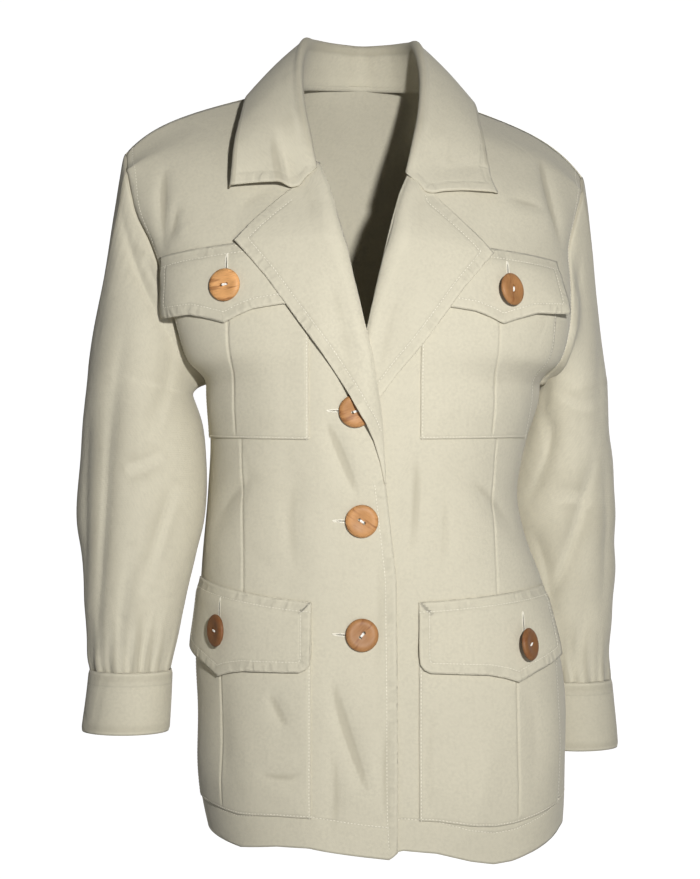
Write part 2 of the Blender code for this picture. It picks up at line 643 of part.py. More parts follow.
def make_sleeves():
    for side, word, table, cuff in ((-1, "right", SLEEVE_RIGHT, CUFF_RIGHT), (1, "left", SLEEVE_LEFT, CUFF_LEFT)):
        rings = fold_sleeve(sleeve_rings(side, table), side)
        sheet(f"sleeve_{word}", rings, closed=True, flip=side > 0)
        bands = [ring(x, y, z, radius, radius, 0, side) for x, y, z, radius in cuff]
        bands[0][:, 2] -= SEAM_GAP
        sheet(f"cuff_{word}", np.array(bands), closed=True, flip=side > 0)


def button_mesh():
    """Turned profile: flat back, round rim and a shallow dish with two holes through it."""
    profile = ((0.0, 2.9), (7.0, 3.2), (9.5, 4.3), (12.5, BUTTON_HEIGHT), (14.7, 3.4), (BUTTON_RADIUS, 1.8),
               (14.3, 0.2), (0.0, 0.0))
    shape = bmesh.new()
    points = [shape.verts.new((x * MM, 0, z * MM)) for x, z in profile]
    for start, end in zip(points, points[1:]):
        shape.edges.new((start, end))
    mesh = bpy.data.meshes.new("button")
    shape.to_mesh(mesh)
    shape.free()
    turned = bpy.data.objects.new("button", mesh)
    bpy.context.scene.collection.objects.link(turned)
    screw = turned.modifiers.new("turn", "SCREW")
    screw.steps = screw.render_steps = BUTTON_SIDES
    screw.use_merge_vertices = True
    screw.merge_threshold = 0.00001
    for side in (-1, 1):
        bpy.ops.mesh.primitive_cylinder_add(vertices=8, radius=HOLE_RADIUS * MM, depth=4 * BUTTON_HEIGHT * MM,
                                            location=(side * HOLE_APART / 2 * MM, 0, 0))
        drill = bpy.context.object
        drill.name = f"drill_{'a' if side < 0 else 'b'}"
        drill.hide_render = True
        drill.display_type = "WIRE"
        for collection in drill.users_collection:
            collection.objects.unlink(drill)
        bpy.data.collections["cutters"].objects.link(drill)
        hole = turned.modifiers.new("hole", "BOOLEAN")
        hole.operation = "DIFFERENCE"
        hole.object = drill
    bpy.context.view_layer.update()
    made = bpy.data.meshes.new_from_object(turned.evaluated_get(bpy.context.evaluated_depsgraph_get()))
    bpy.data.objects.remove(turned)
    return made


# Buttons: distance from the centre front (plus to the wearer's left), height, what it lies on above the cloth, and turn
BUTTONS = (
    ("button_front_1", -9, -319, "front", 20),
    ("button_front_2", -3, -418, "front", -35),
    ("button_front_3", -3, -520, "front", 50),
    ("button_chest_right", -125, -202, "flap", 10),
    ("button_chest_left", 131, -204, "flap", 80),
    ("button_lower_right", -139, -530, "flap", -20),
    ("button_lower_left", 149, -538, "flap", 35),
)


def make_buttons():
    made = button_mesh()
    for name, distance, height, carrier, turn in BUTTONS:
        side = -1 if distance < 0 else 1
        lift = FLAP_LIFT if carrier == "flap" else overlap_lift(abs(distance), height, side)
        angles = np.linspace(0, 2 * math.pi, 12, endpoint=False)
        around = np.stack([distance + BUTTON_RADIUS * np.cos(angles), height + BUTTON_RADIUS * np.sin(angles)], axis=1)
        around = np.vstack([around, [[distance, height]]])
        folds = fold_lift(around[:, 0], around[:, 1], BODY_FOLDS)
        bed = FRONT.lifted(around[:, 0], around[:, 1], lift + folds)
        _, _, axes = np.linalg.svd(bed - bed.mean(axis=0))
        normal = axes[2] if axes[2][1] < 0 else -axes[2]
        foot = bed[-1] + normal * (max((bed - bed[-1]) @ normal) + BUTTON_LIFT[carrier])
        piece = place(name, made.copy(), WOOD_COLOUR, 0.45)
        stand = Vector(normal).to_track_quat("Z", "Y").to_matrix().to_4x4()
        spin = Matrix.Rotation(math.radians(turn), 4, "Z")
        piece.matrix_world = Matrix.Translation(Vector(foot) * MM) @ stand @ spin
    bpy.data.meshes.remove(made)


def main():
    for piece in list(bpy.data.objects):
        bpy.data.objects.remove(piece)
    for name in (NAME, "cutters"):
        bpy.context.scene.collection.children.link(bpy.data.collections.new(name))
    make_back()
    make_fronts()
    make_pockets()
    make_flaps()
    make_lapels()
    make_collar()
    make_sleeves()
    make_buttons()


main()
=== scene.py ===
"""Looks of the safari jacket: cloth, folds, stitching, buttonholes, turned wooden buttons and the stage.

Shape tables are in millimetres, in the frame of the solids: +Z up, the buttoned front towards -Y and +X to
the wearer's left. Right and left are the wearer's. A distance is measured over the cloth from the centre
front.
"""

import math

import bmesh
import bpy
import numpy as np
from bpy.props import FloatProperty, FloatVectorProperty, PointerProperty
from mathutils import Matrix, Vector
from mathutils.bvhtree import BVHTree
from mathutils.kdtree import KDTree


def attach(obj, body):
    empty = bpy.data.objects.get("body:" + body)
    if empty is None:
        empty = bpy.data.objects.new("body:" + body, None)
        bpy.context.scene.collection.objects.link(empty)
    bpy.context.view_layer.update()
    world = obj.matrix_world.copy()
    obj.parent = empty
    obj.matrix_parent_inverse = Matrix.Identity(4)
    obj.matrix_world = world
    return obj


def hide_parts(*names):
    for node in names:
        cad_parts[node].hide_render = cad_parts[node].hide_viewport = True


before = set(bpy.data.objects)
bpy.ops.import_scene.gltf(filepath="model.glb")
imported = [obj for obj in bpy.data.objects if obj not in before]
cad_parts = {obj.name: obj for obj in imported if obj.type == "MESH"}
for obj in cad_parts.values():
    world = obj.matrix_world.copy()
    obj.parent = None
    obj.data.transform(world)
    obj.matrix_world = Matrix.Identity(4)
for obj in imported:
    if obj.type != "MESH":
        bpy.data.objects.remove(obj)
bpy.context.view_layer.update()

bl_info = {
    "name": "Safari Jacket Looks",
    "version": (1, 0, 0),
    "blender": (4, 5, 0),
    "location": "3D View > Sidebar > Jacket",
    "description": "Builds the cloth, stitching, buttons and stage of a safari jacket",
    "category": "Object",
}

MM = 0.001
SIDES = ((-1, "right"), (1, "left"))

# Gaps and heights between the layers of cloth, and the wall of the pieces made of two layers
LAY_GAP = 0.5
WALL = 1.2
OVERLAP_LIFT = WALL + 2 * LAY_GAP
FLAP_TOP_LIFT, FLAP_LIFT = 1.75, 4.8
FLARE = {"chest": 6.5, "lower": 2.0}
LAPEL_LIFT = 1.9
COLLAR_LIFT = 3.2
GORGE_LIFT = 2.5
SEAM_GAP = 0.12
SEAM_DIP = 0.9
DOUBLE_WALL = 1.5

# How far inside an edge each kind of stitching runs
SEAM_STITCH = 10
POCKET_STITCH = 1.8
FLAP_STITCH = 9
LAPEL_STITCH = 9.5
COLLAR_STITCH = 9.5
STAND_STITCH = 4
CUFF_STITCH = 12
# Pitch, length and width of the close stitches of a buttonhole, in metres
BUTTONHOLE_STITCH = (0.00062, 0.0017, 0.00062)

# Rows of the front, from hem to shoulder line: height, x and y of the middle; then where the row ends on the
# right and on the left; then roundness and how far the row slopes to its ends
FRONT_ROWS = (
    # z,   x,    y,   right x, y, z,      left x, y, z,      round, slope
    (-735, 0, -127, -138, 5, -727, 190, -7, -733, 2.4, 0.0),
    (-705, 0, -129, -145, 4, -694, 193, -6, -700, 2.4, 0.0),
    (-660, 0, -129, -150, 4, -652, 195, -5, -655, 2.4, 0.0),
    (-600, 0, -126, -151, 3, -590, 195, -4, -594, 2.4, 0.0),
    (-555, 0, -122, -152, 1, -541, 190, -3, -547, 2.4, 0.0),
    (-495, -2, -117, -148, -2, -476, 175, -1, -483, 2.4, 0.0),
    (-440, -5, -114, -144, -6, -428, 158, 3, -432, 2.35, 0.0),
    (-400, -8, -115, -141, -9, -394, 151, 6, -396, 2.3, 0.0),
    (-345, -14, -121, -139, -12, -343, 161, 17, -343, 2.3, 0.0),
    (-302, -19, -127, -142.5, -14, -302, 173.5, 27, -302, 2.3, 0.0),
    (-293, -20, -128, -143, -14, -293, 174, 28, -293, 2.3, 0.0),
    (-262, -23, -131, -158, -48, -272, 189, -10, -272, 2.25, 0.0),
    (-225, -26, -131, -168, -64, -238, 198, -20, -238, 2.2, 0.0),
    (-185, -26, -126, -178, -67, -200, 200, -15, -203, 2.1, 0.0),
    (-150, -22, -117, -191, -62, -165, 199, -3, -168, 2.0, 0.0),
    (-115, -14, -103, -205, -59, -136, 206, 6, -139, 1.8, 0.1),
    (-75, -5, -80, -213, -56, -104, 214, 19, -113, 1.5, 0.4),
    (-4, 2, -12, -216, -45, -88, 217, 35.5, -98, 1.1, 0.68),
    (7, 3, 5, -217, -38, -79, 218, 46, -90, 1.0, 0.72),
)
# Rows of the back, from hem to below the shoulder line, with the same columns
BACK_ROWS = (
    (-726, 28, 111, -138, 5, -727, 190, -7, -733, 2.3, 0.0),
    (-695, 28, 113, -145, 4, -694, 193, -6, -700, 2.3, 0.0),
    (-655, 28, 113, -150, 4, -652, 195, -5, -655, 2.3, 0.0),
    (-595, 25, 112, -151, 3, -590, 195, -4, -594, 2.3, 0.0),
    (-550, 22, 108, -152, 1, -541, 190, -3, -547, 2.3, 0.0),
    (-490, 16, 98, -148, -2, -476, 175, -1, -483, 2.3, 0.0),
    (-437, 8, 88, -144, -6, -428, 158, 3, -432, 2.3, 0.0),
    (-398, 5, 83, -141, -9, -394, 151, 6, -396, 2.3, 0.0),
    (-345, 6, 89, -139, -12, -343, 161, 17, -343, 2.3, 0.0),
    (-302, 8, 99, -142.5, -14, -302, 173.5, 27, -302, 2.3, 0.0),
    (-293, 8, 100, -143, -14, -293, 174, 28, -293, 2.3, 0.0),
    (-262, 8, 105, -162, 10, -272, 181, 52, -272, 2.4, 0.0),
    (-225, 8, 109, -177, 25, -238, 188, 68, -238, 2.4, 0.0),
    (-185, 8, 111, -187, 29, -200, 195, 75, -203, 2.4, 0.0),
    (-150, 7, 110, -196, 22, -165, 203, 76, -168, 2.3, 0.0),
    (-115, 6, 105, -207, 12, -136, 210, 75, -139, 2.2, 0.1),
    (-75, 5, 95, -214, -2, -104, 216, 70, -112, 2.0, 0.4),
)
ARMPIT_HEIGHT = -293
# The neck curve's ends and its deepest point at the back
NECK_RIGHT = (-62, -8, -12)
NECK_LEFT = (64, 18, -12)
NECK_BACK = (4, 57, 0)
CENTRE_FRONT_X = 6
HEM, TOP = -718, 7

# Distance of the front edge past the centre front, then of the roll line and neck seam
FRONT_EDGE = (
    # z, distance
    (-735, -29), (-577, -29), (-472, -28), (-418, -22), (-385, -18), (-371, -18), (-328, -15), (-284, -7.5),
    (-249, 0.5), (-184, 15), (-147, 24), (-122, 31), (-98, 41), (-75, 50), (-35, 60), (7, 67),
)
# The hem's own height by distance from the centre front
HEM_LINE = (
    # distance, z
    (-250, -716), (-171, -717), (-120, -719), (-81, -712), (-51, -710), (-4, -716), (22, -719), (31, -711),
    (64, -715), (96, -724), (118, -728), (138, -727), (166, -721), (214, -709), (260, -706),
)
# Height of the hem's stitching, and the stretch over which the rows bend to the hem's line
HEM_BAND = 29
HEM_FINE_TOP = -690
HEM_BEND_TOP, HEM_BEND = -650, 60
# Below the break the front edge shows, and above it the lapel's roll line hides it
BREAK_HEIGHT = -370
# The dart's distance from the centre front on the right and left
DART = (
    # z, right, left
    (-497, 115, 124.5), (-347, 118, 132),
)

# Pockets: inner and outer distance, lower and upper edge, pleat line, flap top
POCKETS = {
    "chest": (50, 190, -345, -185, 124, -165),
    "lower": (48, 203, -688, -507, 142, -492),
}
# Flap outlines, as distance from the centre front and drop below the flap's top edge
FLAPS = {
    "chest": ((50, 59), (74, 59), (99, 61), (113, 65), (126, 70), (139, 65), (160, 57), (180, 55), (196, 53)),
    "lower": ((48, 50), (49, 56), (52, 60), (58, 63), (82, 65), (112, 68), (128, 72), (142, 77), (163, 70),
              (183, 65), (203, 60)),
}

# Lapel: height, distance of the roll line, distance of the outer edge
LAPEL_ROWS = (
    # z, roll, outer edge
    (-385, -18, -17), (-365, -17.5, -13), (-345, -16, -7), (-329, -15, 0), (-304, -11, 15), (-272, -6, 37),
    (-245, 1, 57.5), (-222, 6, 74), (-202, 11, 88), (-176, 16.5, 109), (-167, 19.5, 117), (-150, 24.5, 100),
    (-135, 28, 83), (-120, 32.5, 65), (-112, 35.5, 62), (-104, 38.5, 56), (-96, 41.5, 50),
)
# How much higher the right lapel's corners lie than the table says, and how much lower the left one's
LAPEL_SHIFT = {-1: 3.5, 1: -4.5}
# How far the lapel stands off by height
LAPEL_RISE = ((-385, 0), (-320, 0.5), (-285, 2.2), (-255, 4.6), (-165, 4.6), (-132, 0.6), (-120, 0))
# The right lapel rides over the top button: distance, z, half width, half height, rise
BUTTON_BUMP = (9, -321, 18, 27, 10.8)

# Collar stations from the front end to the back: neck seam, roll and outer edge
COLLAR_STATIONS = (
    # seam x, y, z,      roll x, y, z,      outer x, y, z
    (-47, -90, -88, -42, -104, -92, -120, -82, -116),
    (-51, -76, -68, -47, -92, -70, -118, -84, -101),
    (-57, -54, -46, -54, -68, -32, -116, -76, -78),
    (-60, -30, -25, -56, -40, 3, -112, -55, -52),
    (-60, -6, -11, -52, -8, 31, -107, -18, -26),
    (-53, 20, -5, -44, 18, 36, -98, 30, -27),
    (-36, 43, -1, -29, 36, 37, -75, 72, -35),
    (-14, 56, 1, -10, 46, 37, -34, 97, -41),
)
COLLAR_CENTRE = (4, 60, 2, 2, 49, 37, 6, 103, -43)
COLLAR_MIDDLE_X = 3
# How far the collar is turned about the vertical, how much the fall bows up at each station from the front
# end to the back, and how much lower the left side's stations lie
COLLAR_TURN = 0.17
COLLAR_BOWS = (2, 2.5, 3, 3, 3, 4, 5, 6, 7)
COLLAR_SAG = (9, 8, 6, 3, 0, 0, 0, 0)
# How the collar's front end is bent down beside the notch: the way it moves, and its share across the fall
NOTCH_DROP = (0, -6, -18.5)
NOTCH_PLACES = ((0.0, 0.12, 0.22, 1.0), (0.0, 0.5, 1.0, 0.0))
COLLAR_SHARES = (0.06, 0.12, 0.2, 0.27, 0.34, 0.45, 0.56, 0.67, 0.78, 0.89, 1)
# The first of the points across the collar that is kept clear of the cloth under it
FALL_START = 16

# Sleeve rings below the armhole: middle x, y, z, half width, half depth, rise to the outside
SLEEVES = {
    "right": (
        (-205, -17, -290, 48, 60, 14), (-202, -22, -327, 55, 60, 6), (-201, -28, -365, 57, 60, 2),
        (-203, -34, -417, 58, 57, 0), (-205, -40, -450, 53, 53, 0), (-207, -46, -487, 47, 48, 0),
        (-208, -52, -523, 42, 43, 0), (-210, -55, -545, 39, 39, 0), (-210, -57, -557, 36.5, 36.5, 0),
    ),
    "left": (
        (206, 70, -300, 38, 54, 12), (203, 76, -335, 43, 56, 6), (201, 82, -370, 50, 57, 2),
        (200, 88, -420, 54, 56, 0), (202, 92, -452, 52, 53, 0), (205, 94, -490, 48, 48, 0),
        (208, 95, -528, 44, 43, 0), (211, 96, -565, 40, 39, 0), (213, 96, -583, 37.5, 37.5, 0),
    ),
}
CUFFS = {
    "right": ((-210, -57, -557, 36.5), (-212, -60, -585, 37.5), (-214, -62, -612, 38.5)),
    "left": ((213, 96, -583, 37.5), (216, 98, -617, 38.0), (219, 100, -650, 38.5)),
}
AROUND = 120

# Soft folds seen from the front or the back: x and z of the start, bend and end, width, depth, +1 on the back
BODY_FOLDS = (
    (-29, -326, -15, -359, 1, -399, 7, 1.4, 0), (51, -352, 52, -400, 47, -454, 9, 1.1, 0),
    (-24, -554, -8, -612, 12, -665, 8, 1.7, 0), (-79, -568, -72, -587, -62, -603, 7, 1.0, 0),
    (-92, -641, -70, -646, -46, -642, 6, 0.8, 0), (-176, -92, -178, -135, -176, -178, 6, 1.7, 0),
    (-163, -126, -167, -150, -171, -168, 5.5, 1.2, 0), (171, -71, 180, -118, 191, -172, 6, 1.8, 0),
    (136, -123, 158, -127, 180, -133, 6, 0.9, 0), (-134, -440, -118, -402, -88, -376, 10, 1.3, 0),
    (146, -440, 126, -404, 96, -380, 10, 1.3, 0), (18, -440, 20, -505, 12, -575, 14, 1.0, 0),
    (-52, -372, -60, -420, -52, -478, 12, 0.9, 0), (72, -380, 78, -425, 70, -480, 11, 0.8, 0),
    (72, -570, 62, -635, 70, -700, 13, 1.0, 0), (96, -716, 106, -660, 122, -600, 20, -1.8, 0),
    (150, -560, 160, -610, 156, -670, 12, 1.0, 0), (-118, -560, -122, -610, -114, -664, 10, 0.9, 0),
    (-110, -150, -96, -128, -70, -118, 12, 0.8, 0), (96, -150, 112, -120, 108, -92, 12, 0.9, 0),
    (-30, -600, -20, -650, -26, -712, 9, 0.9, 0), (30, -590, 24, -640, 30, -700, 9, 0.9, 0),
    (-150, -220, -110, -262, -50, -268, 16, 1.3, 1), (160, -220, 124, -262, 70, -270, 16, 1.3, 1),
    (-130, -380, -50, -410, 40, -404, 13, 1.2, 1), (130, -386, 70, -424, -20, -436, 14, 1.1, 1),
    (-60, -440, -48, -540, -64, -690, 18, 1.6, 1), (70, -450, 84, -560, 74, -700, 19, 1.7, 1),
    (10, -90, 6, -190, 12, -300, 22, 0.9, 1), (-150, -110, -134, -190, -130, -270, 12, 1.3, 1),
    (160, -110, 144, -200, 140, -280, 12, 1.3, 1), (5, -450, 18, -540, 8, -660, 16, 1.1, 1),
)
SLEEVE_FOLDS = {
    "right": (
        (-221, -112, -203, -190, -158, -276, 6, 1.9, 0), (-217, -96, -205, -132, -203, -168, 6, 1.5, 0),
        (-198, -176, -189, -192, -180, -214, 6, 1.2, 0), (-228, -290, -232, -430, -242, -556, 7, 1.7, 0),
        (-248, -310, -251, -400, -250, -490, 6, 1.4, 0), (-212, -374, -196, -369, -176, -360, 6, 0.9, 0),
        (-166, -384, -179, -430, -196, -490, 7, 1.6, 0), (-212, -236, -222, -300, -226, -370, 9, 1.1, 0),
        (-172, -250, -176, -300, -188, -350, 8, 1.5, 0), (-204, -440, -214, -500, -216, -548, 8, 1.3, 0),
        (-186, -480, -192, -520, -197, -550, 7, 1.2, 0), (-236, -180, -228, -270, -212, -360, 12, 1.4, 1),
        (-178, -240, -196, -320, -202, -400, 10, 1.6, 1), (-240, -384, -205, -402, -170, -392, 10, 1.1, 1),
        (-238, -410, -216, -470, -206, -550, 9, 1.6, 1), (-184, -400, -190, -470, -202, -540, 8, 1.3, 1),
    ),
    "left": (
        (181, -322, 184, -352, 160, -414, 7, 1.7, 0), (230, -350, 212, -428, 184, -504, 8, 1.8, 0),
        (214, -130, 208, -200, 186, -276, 7, 1.5, 0), (226, -170, 234, -270, 230, -360, 9, 1.3, 0),
        (190, -296, 212, -312, 234, -306, 7, 0.9, 0), (238, -350, 243, -430, 238, -520, 7, 1.4, 0),
        (186, -404, 206, -400, 228, -410, 7, 0.8, 0), (168, -430, 182, -470, 190, -530, 7, 1.4, 0),
        (222, -500, 217, -545, 212, -578, 7, 1.2, 0), (194, -510, 199, -548, 202, -576, 7, 1.1, 0),
        (188, -260, 180, -310, 182, -360, 8, 1.3, 0), (230, -200, 222, -290, 208, -380, 12, 1.4, 1),
        (174, -260, 190, -340, 198, -420, 10, 1.5, 1), (238, -406, 206, -422, 172, -414, 10, 1.1, 1),
        (234, -430, 218, -500, 212, -570, 8, 1.5, 1), (182, -420, 192, -500, 206, -565, 8, 1.3, 1),
    ),
}
SLEEVE_GATHERS = 15
# Where the sleeve's top edge is turned in under the armhole: depth, way towards the body
SLEEVE_TUCK = ((2.4, 5.0), (1.6, 2.2))

# Buttons: distance from the centre front (plus to the left), height, layer and turn in degrees
BUTTONS = (
    ("button_front_1", -9, -319, "front", 20),
    ("button_front_2", -3, -418, "front", -35),
    ("button_front_3", -3, -520, "front", 50),
    ("button_chest_right", -125, -202, "chest", 10),
    ("button_chest_left", 131, -204, "chest", 80),
    ("button_lower_right", -139, -530, "lower", -20),
    ("button_lower_left", 149, -538, "lower", 35),
)
# Buttons that hang turned to the side: degrees about the vertical, and how much they stand off
BUTTON_TILTS = {
    "button_chest_left": (22, 4.4), "button_lower_right": (-14, 2.6), "button_lower_left": (25, 5.2),
}
# How light each button is drawn, from 0 to 1: partly its wood's own tone, partly painted shade on the buttons
# that face away from the light
BUTTON_TONE_AND_SHADE = {
    "button_front_1": 0.52, "button_front_2": 0.66, "button_front_3": 0.44, "button_chest_right": 1.0,
    "button_chest_left": 0.42, "button_lower_right": 0.08, "button_lower_left": 0.14,
}
GRAIN_TURN = 0.65
BUTTON_RADIUS = 14.8
BUTTON_HOLE_X, BUTTON_HOLE_RADIUS = 2.5, 1.5
# Turned profile of a button, from the middle of its dish over its rim to its back: radius, height
BUTTON_PROFILE = (
    (0.0, 3.45), (2.5, 3.5), (4.6, 3.7), (6.4, 4.0), (8.2, 4.3), (10.0, 4.5), (11.6, 4.5), (13.0, 4.2),
    (14.2, 3.6), (15.1, 2.75), (15.5, 1.8), (15.3, 1.0), (14.6, 0.35), (13.6, 0.05), (0.0, 0.0),
)
PROFILE_RADIUS = 15.5
# Gap between a button and the highest cloth under it
BUTTON_LIFT = {"front": 0.9, "chest": 0.6, "lower": 0.6}
# Buttonholes: distance, height, layer, half length, turn in degrees from level
BUTTONHOLES = (
    ("button_front_1", -22, -319, "front", 12, 0),
    ("button_front_2", -17, -418, "front", 12, 0),
    ("button_front_3", -17, -520, "front", 12, -3),
    ("button_chest_right", -124, -185, "chest", 11, 88),
    ("button_chest_left", 131, -187, "chest", 11, 92),
    ("button_lower_right", -139, -513, "lower", 11, 88),
    ("button_lower_left", 149, -521, "lower", 11, 92),
)

CAMERA_PLACE = (-0.0076, -2.0, -0.345)
LENS, SENSOR = 50, 20.876
# The stage, in metres
FLOOR_PLACE, BACKDROP_PLACE, PLANE_SIZE = (0, 0, -1.5), (0, 3.4, 0), 9
KEY_PLACE, FILL_PLACE = (0.36, -2.0, 0.0), (0.6, -1.8, -0.95)
LIT_SPOT = (0, 0, -0.33)


def smooth(knots, values, at):
    """Smooth curve through the values at the knots, read at one or more places."""
    knots, values = np.asarray(knots, float), np.asarray(values, float)
    at = np.clip(np.asarray(at, float), knots[0], knots[-1])
    slope = np.gradient(values, knots, axis=0)
    low = np.clip(np.searchsorted(knots, at, side="right") - 1, 0, len(knots) - 2)
    span = knots[low + 1] - knots[low]
    t = (at - knots[low]) / span
    shape = (-1,) + (1,) * (values.ndim - 1) if np.ndim(at) else ()
    t, span = np.reshape(t, shape), np.reshape(span, shape)
    return hermite(t, values[low], values[low + 1], span * slope[low], span * slope[low + 1])


def hermite(t, start, end, leave, arrive):
    """Between the start and the end, leaving and arriving with the given slopes."""
    return ((2 * t**3 - 3 * t**2 + 1) * start + (t**3 - 2 * t**2 + t) * leave
            + (3 * t**2 - 2 * t**3) * end + (t**3 - t**2) * arrive)


def hump(gap, width):
    """1 where there is no gap, falling smoothly to 0 over about the width."""
    return np.exp(-((gap / width) ** 2))


def spaced(knots, counts):
    """Places from the first knot to the last, with its own count of points between each two knots."""
    stretches = [np.linspace(start, end, count)[:-1] for start, end, count in zip(knots, knots[1:], counts)]
    return np.append(np.concatenate(stretches), knots[-1])


def step(low, high, value):
    """0 below the low value, 1 above the high one, and smooth between them."""
    t = np.clip((np.asarray(value, float) - low) / (high - low), 0, 1)
    return t * t * (3 - 2 * t)


def table_read(table, at, column=1):
    """A column of a table, read at some values of its first one."""
    table = np.array(table, float)
    return np.interp(at, table[:, 0], table[:, column])


def lengths_along(points):
    """Length from the first point to each point."""
    return np.concatenate([[0.0], np.cumsum(np.linalg.norm(np.diff(points, axis=0), axis=1))])


def even(points, count):
    """The same line with its points evenly spaced."""
    run = lengths_along(points)
    place = np.linspace(0, run[-1], count)
    return np.stack([np.interp(place, run, points[:, axis]) for axis in range(points.shape[1])], axis=1)


def half_arc(middle, end, roundness, slope, count=90):
    """From the middle of a row to one of its ends, as a quarter of a rounded box."""
    turn = np.linspace(0, math.pi / 2, count)
    across = np.sin(turn) ** (2 / roundness) if roundness > 1 else np.linspace(0, 1, count)
    rise = slope * across + (1 - slope) * across ** (2 + 8 * slope)
    depth = (1 - across**roundness).clip(0) ** (1 / roundness)
    x = middle[0] + (end[0] - middle[0]) * across
    y = end[1] + (middle[1] - end[1]) * depth
    z = middle[2] + (end[2] - middle[2]) * rise
    return np.stack([x, y, z], axis=1)


def row_points(row):
    """The points of one row of the tables, from the right end to the left one."""
    z, x, y, right_x, right_y, right_z, left_x, left_y, left_z, roundness, slope = row
    to_right = half_arc((x, y, z), (right_x, right_y, right_z), roundness, slope)
    to_left = half_arc((x, y, z), (left_x, left_y, left_z), roundness, slope)
    return np.concatenate([to_right[::-1], to_left[1:]])


def back_top_row(shoulder, away=0.0, down=0.0):
    """The back's top edge, the shoulder seams and the neck curve between them, or a row a little below it."""
    right = shoulder[shoulder[:, 0] < NECK_RIGHT[0]]
    left = shoulder[shoulder[:, 0] > NECK_LEFT[0]]
    turn = np.linspace(0, math.pi, 41)[1:-1]
    middle = (np.array(NECK_RIGHT, float) + NECK_LEFT) / 2
    out = (np.array(NECK_LEFT, float) - NECK_RIGHT) / 2
    back = np.array(NECK_BACK, float) - middle
    neck = middle - np.cos(turn)[:, None] * out + np.sin(turn)[:, None] ** 0.8 * back
    row = np.concatenate([right, neck, left])
    at_neck = np.exp(-((row[:, 0] - middle[0]) / 58) ** 4)
    row[:, 1] += away * (1 - 0.55 * at_neck)
    at_tip = (abs(row[:, 0]) / abs(row[0, 0])) ** 8
    row[:, 2] -= down * (1 + 2.6 * at_neck + 2.2 * at_tip)
    return row


class Cloth:
    """The surface that panels are cut from: rows of points, read by distance and height."""

    def __init__(self, heights, rows, centre_x, samples=321):
        self.heights = np.asarray(heights, float)
        self.rows = np.stack([even(row, samples) for row in rows])
        self.slopes = np.gradient(self.rows, self.heights, axis=0)
        self.length = np.array([lengths_along(row)[-1] for row in self.rows])
        shares = np.linspace(0, 1, samples)
        self.centre = np.array([np.interp(centre_x, row[:, 0], shares) for row in self.rows])
        self.samples = samples

    def reach(self, height, side):
        """Distance from the centre line to the end of the row."""
        length = smooth(self.heights, self.length, height)
        centre = smooth(self.heights, self.centre, height)
        return length * (centre if side < 0 else 1 - centre)

    def part(self, share, height):
        """Points at shares of the row's length."""
        share, height = np.broadcast_arrays(np.asarray(share, float), np.asarray(height, float))
        height = np.clip(height, self.heights[0], self.heights[-1])
        row = np.clip(np.searchsorted(self.heights, height, side="right") - 1, 0, len(self.heights) - 2)
        span = (self.heights[row + 1] - self.heights[row])[..., None]
        t = (height - self.heights[row])[..., None] / span
        place = np.clip(share, 0, 1) * (self.samples - 1)
        low = np.minimum(place.astype(int), self.samples - 2)
        mix = (place - low)[..., None]

        def read(table, index):
            return table[index, low] * (1 - mix) + table[index, low + 1] * mix

        return hermite(t, read(self.rows, row), read(self.rows, row + 1),
                       span * read(self.slopes, row), span * read(self.slopes, row + 1))

    def share(self, distance, height):
        """Share of the row's length at a distance from the centre line."""
        flat = np.ravel(height)
        centre = smooth(self.heights, self.centre, flat).reshape(np.shape(height))
        return centre + distance / smooth(self.heights, self.length, flat).reshape(np.shape(height))

    def at(self, distance, height):
        """Points at a distance from the centre line and a height."""
        distance, height = np.broadcast_arrays(np.asarray(distance, float), np.asarray(height, float))
        return self.part(self.share(distance, height), height)

    def normal(self, distance, height):
        """Which way the cloth faces there."""
        top, low = min(self.heights[-1], TOP), self.heights[0]
        across = self.at(distance + 2, height) - self.at(distance - 2, height)
        up = self.at(distance, np.minimum(height + 2, top)) - self.at(distance, np.maximum(height - 2, low))
        return unit(np.cross(across, up))


def unit(vectors):
    """The vectors at a length of 1."""
    return vectors / np.maximum(np.linalg.norm(vectors, axis=-1, keepdims=True), 1e-9)


FRONT = Cloth([row[0] for row in FRONT_ROWS], [row_points(row) for row in FRONT_ROWS], CENTRE_FRONT_X)
SHOULDER = row_points(FRONT_ROWS[-1])
BACK_TOP = [back_top_row(SHOULDER, 14, 3), back_top_row(SHOULDER)]
BACK = Cloth([row[0] for row in FRONT_ROWS], [row_points(row) for row in BACK_ROWS] + BACK_TOP, 5)


def bent_line(start, middle, end):
    """A curve through three points in the flat."""
    start, middle, end = np.array([start, middle, end], float)
    turn = np.linspace(0, 1, 13)[:, None]
    pull = 2 * middle - (start + end) / 2
    return (1 - turn) ** 2 * start + 2 * turn * (1 - turn) * pull + turn**2 * end


def line_gap(spots, line):
    """Distance in the flat from each spot to a line, and how far along the line it lies, from 0 to 1."""
    line = np.array(line, float)
    best, along = np.full(spots.shape[:-1], 1e9), np.zeros(spots.shape[:-1])
    for index, (start, end) in enumerate(zip(line, line[1:])):
        edge = end - start
        t = np.clip((spots - start) @ edge / max(edge @ edge, 1e-9), 0, 1)
        gap = np.linalg.norm(spots - start - t[..., None] * edge, axis=-1)
        along = np.where(gap < best, (index + t) / (len(line) - 1), along)
        best = np.minimum(gap, best)
    return best, along


def outline_gap(distance, height, outline):
    """Distance over the cloth from each point to a line."""
    return line_gap(np.stack([distance, height], axis=-1), outline)[0]


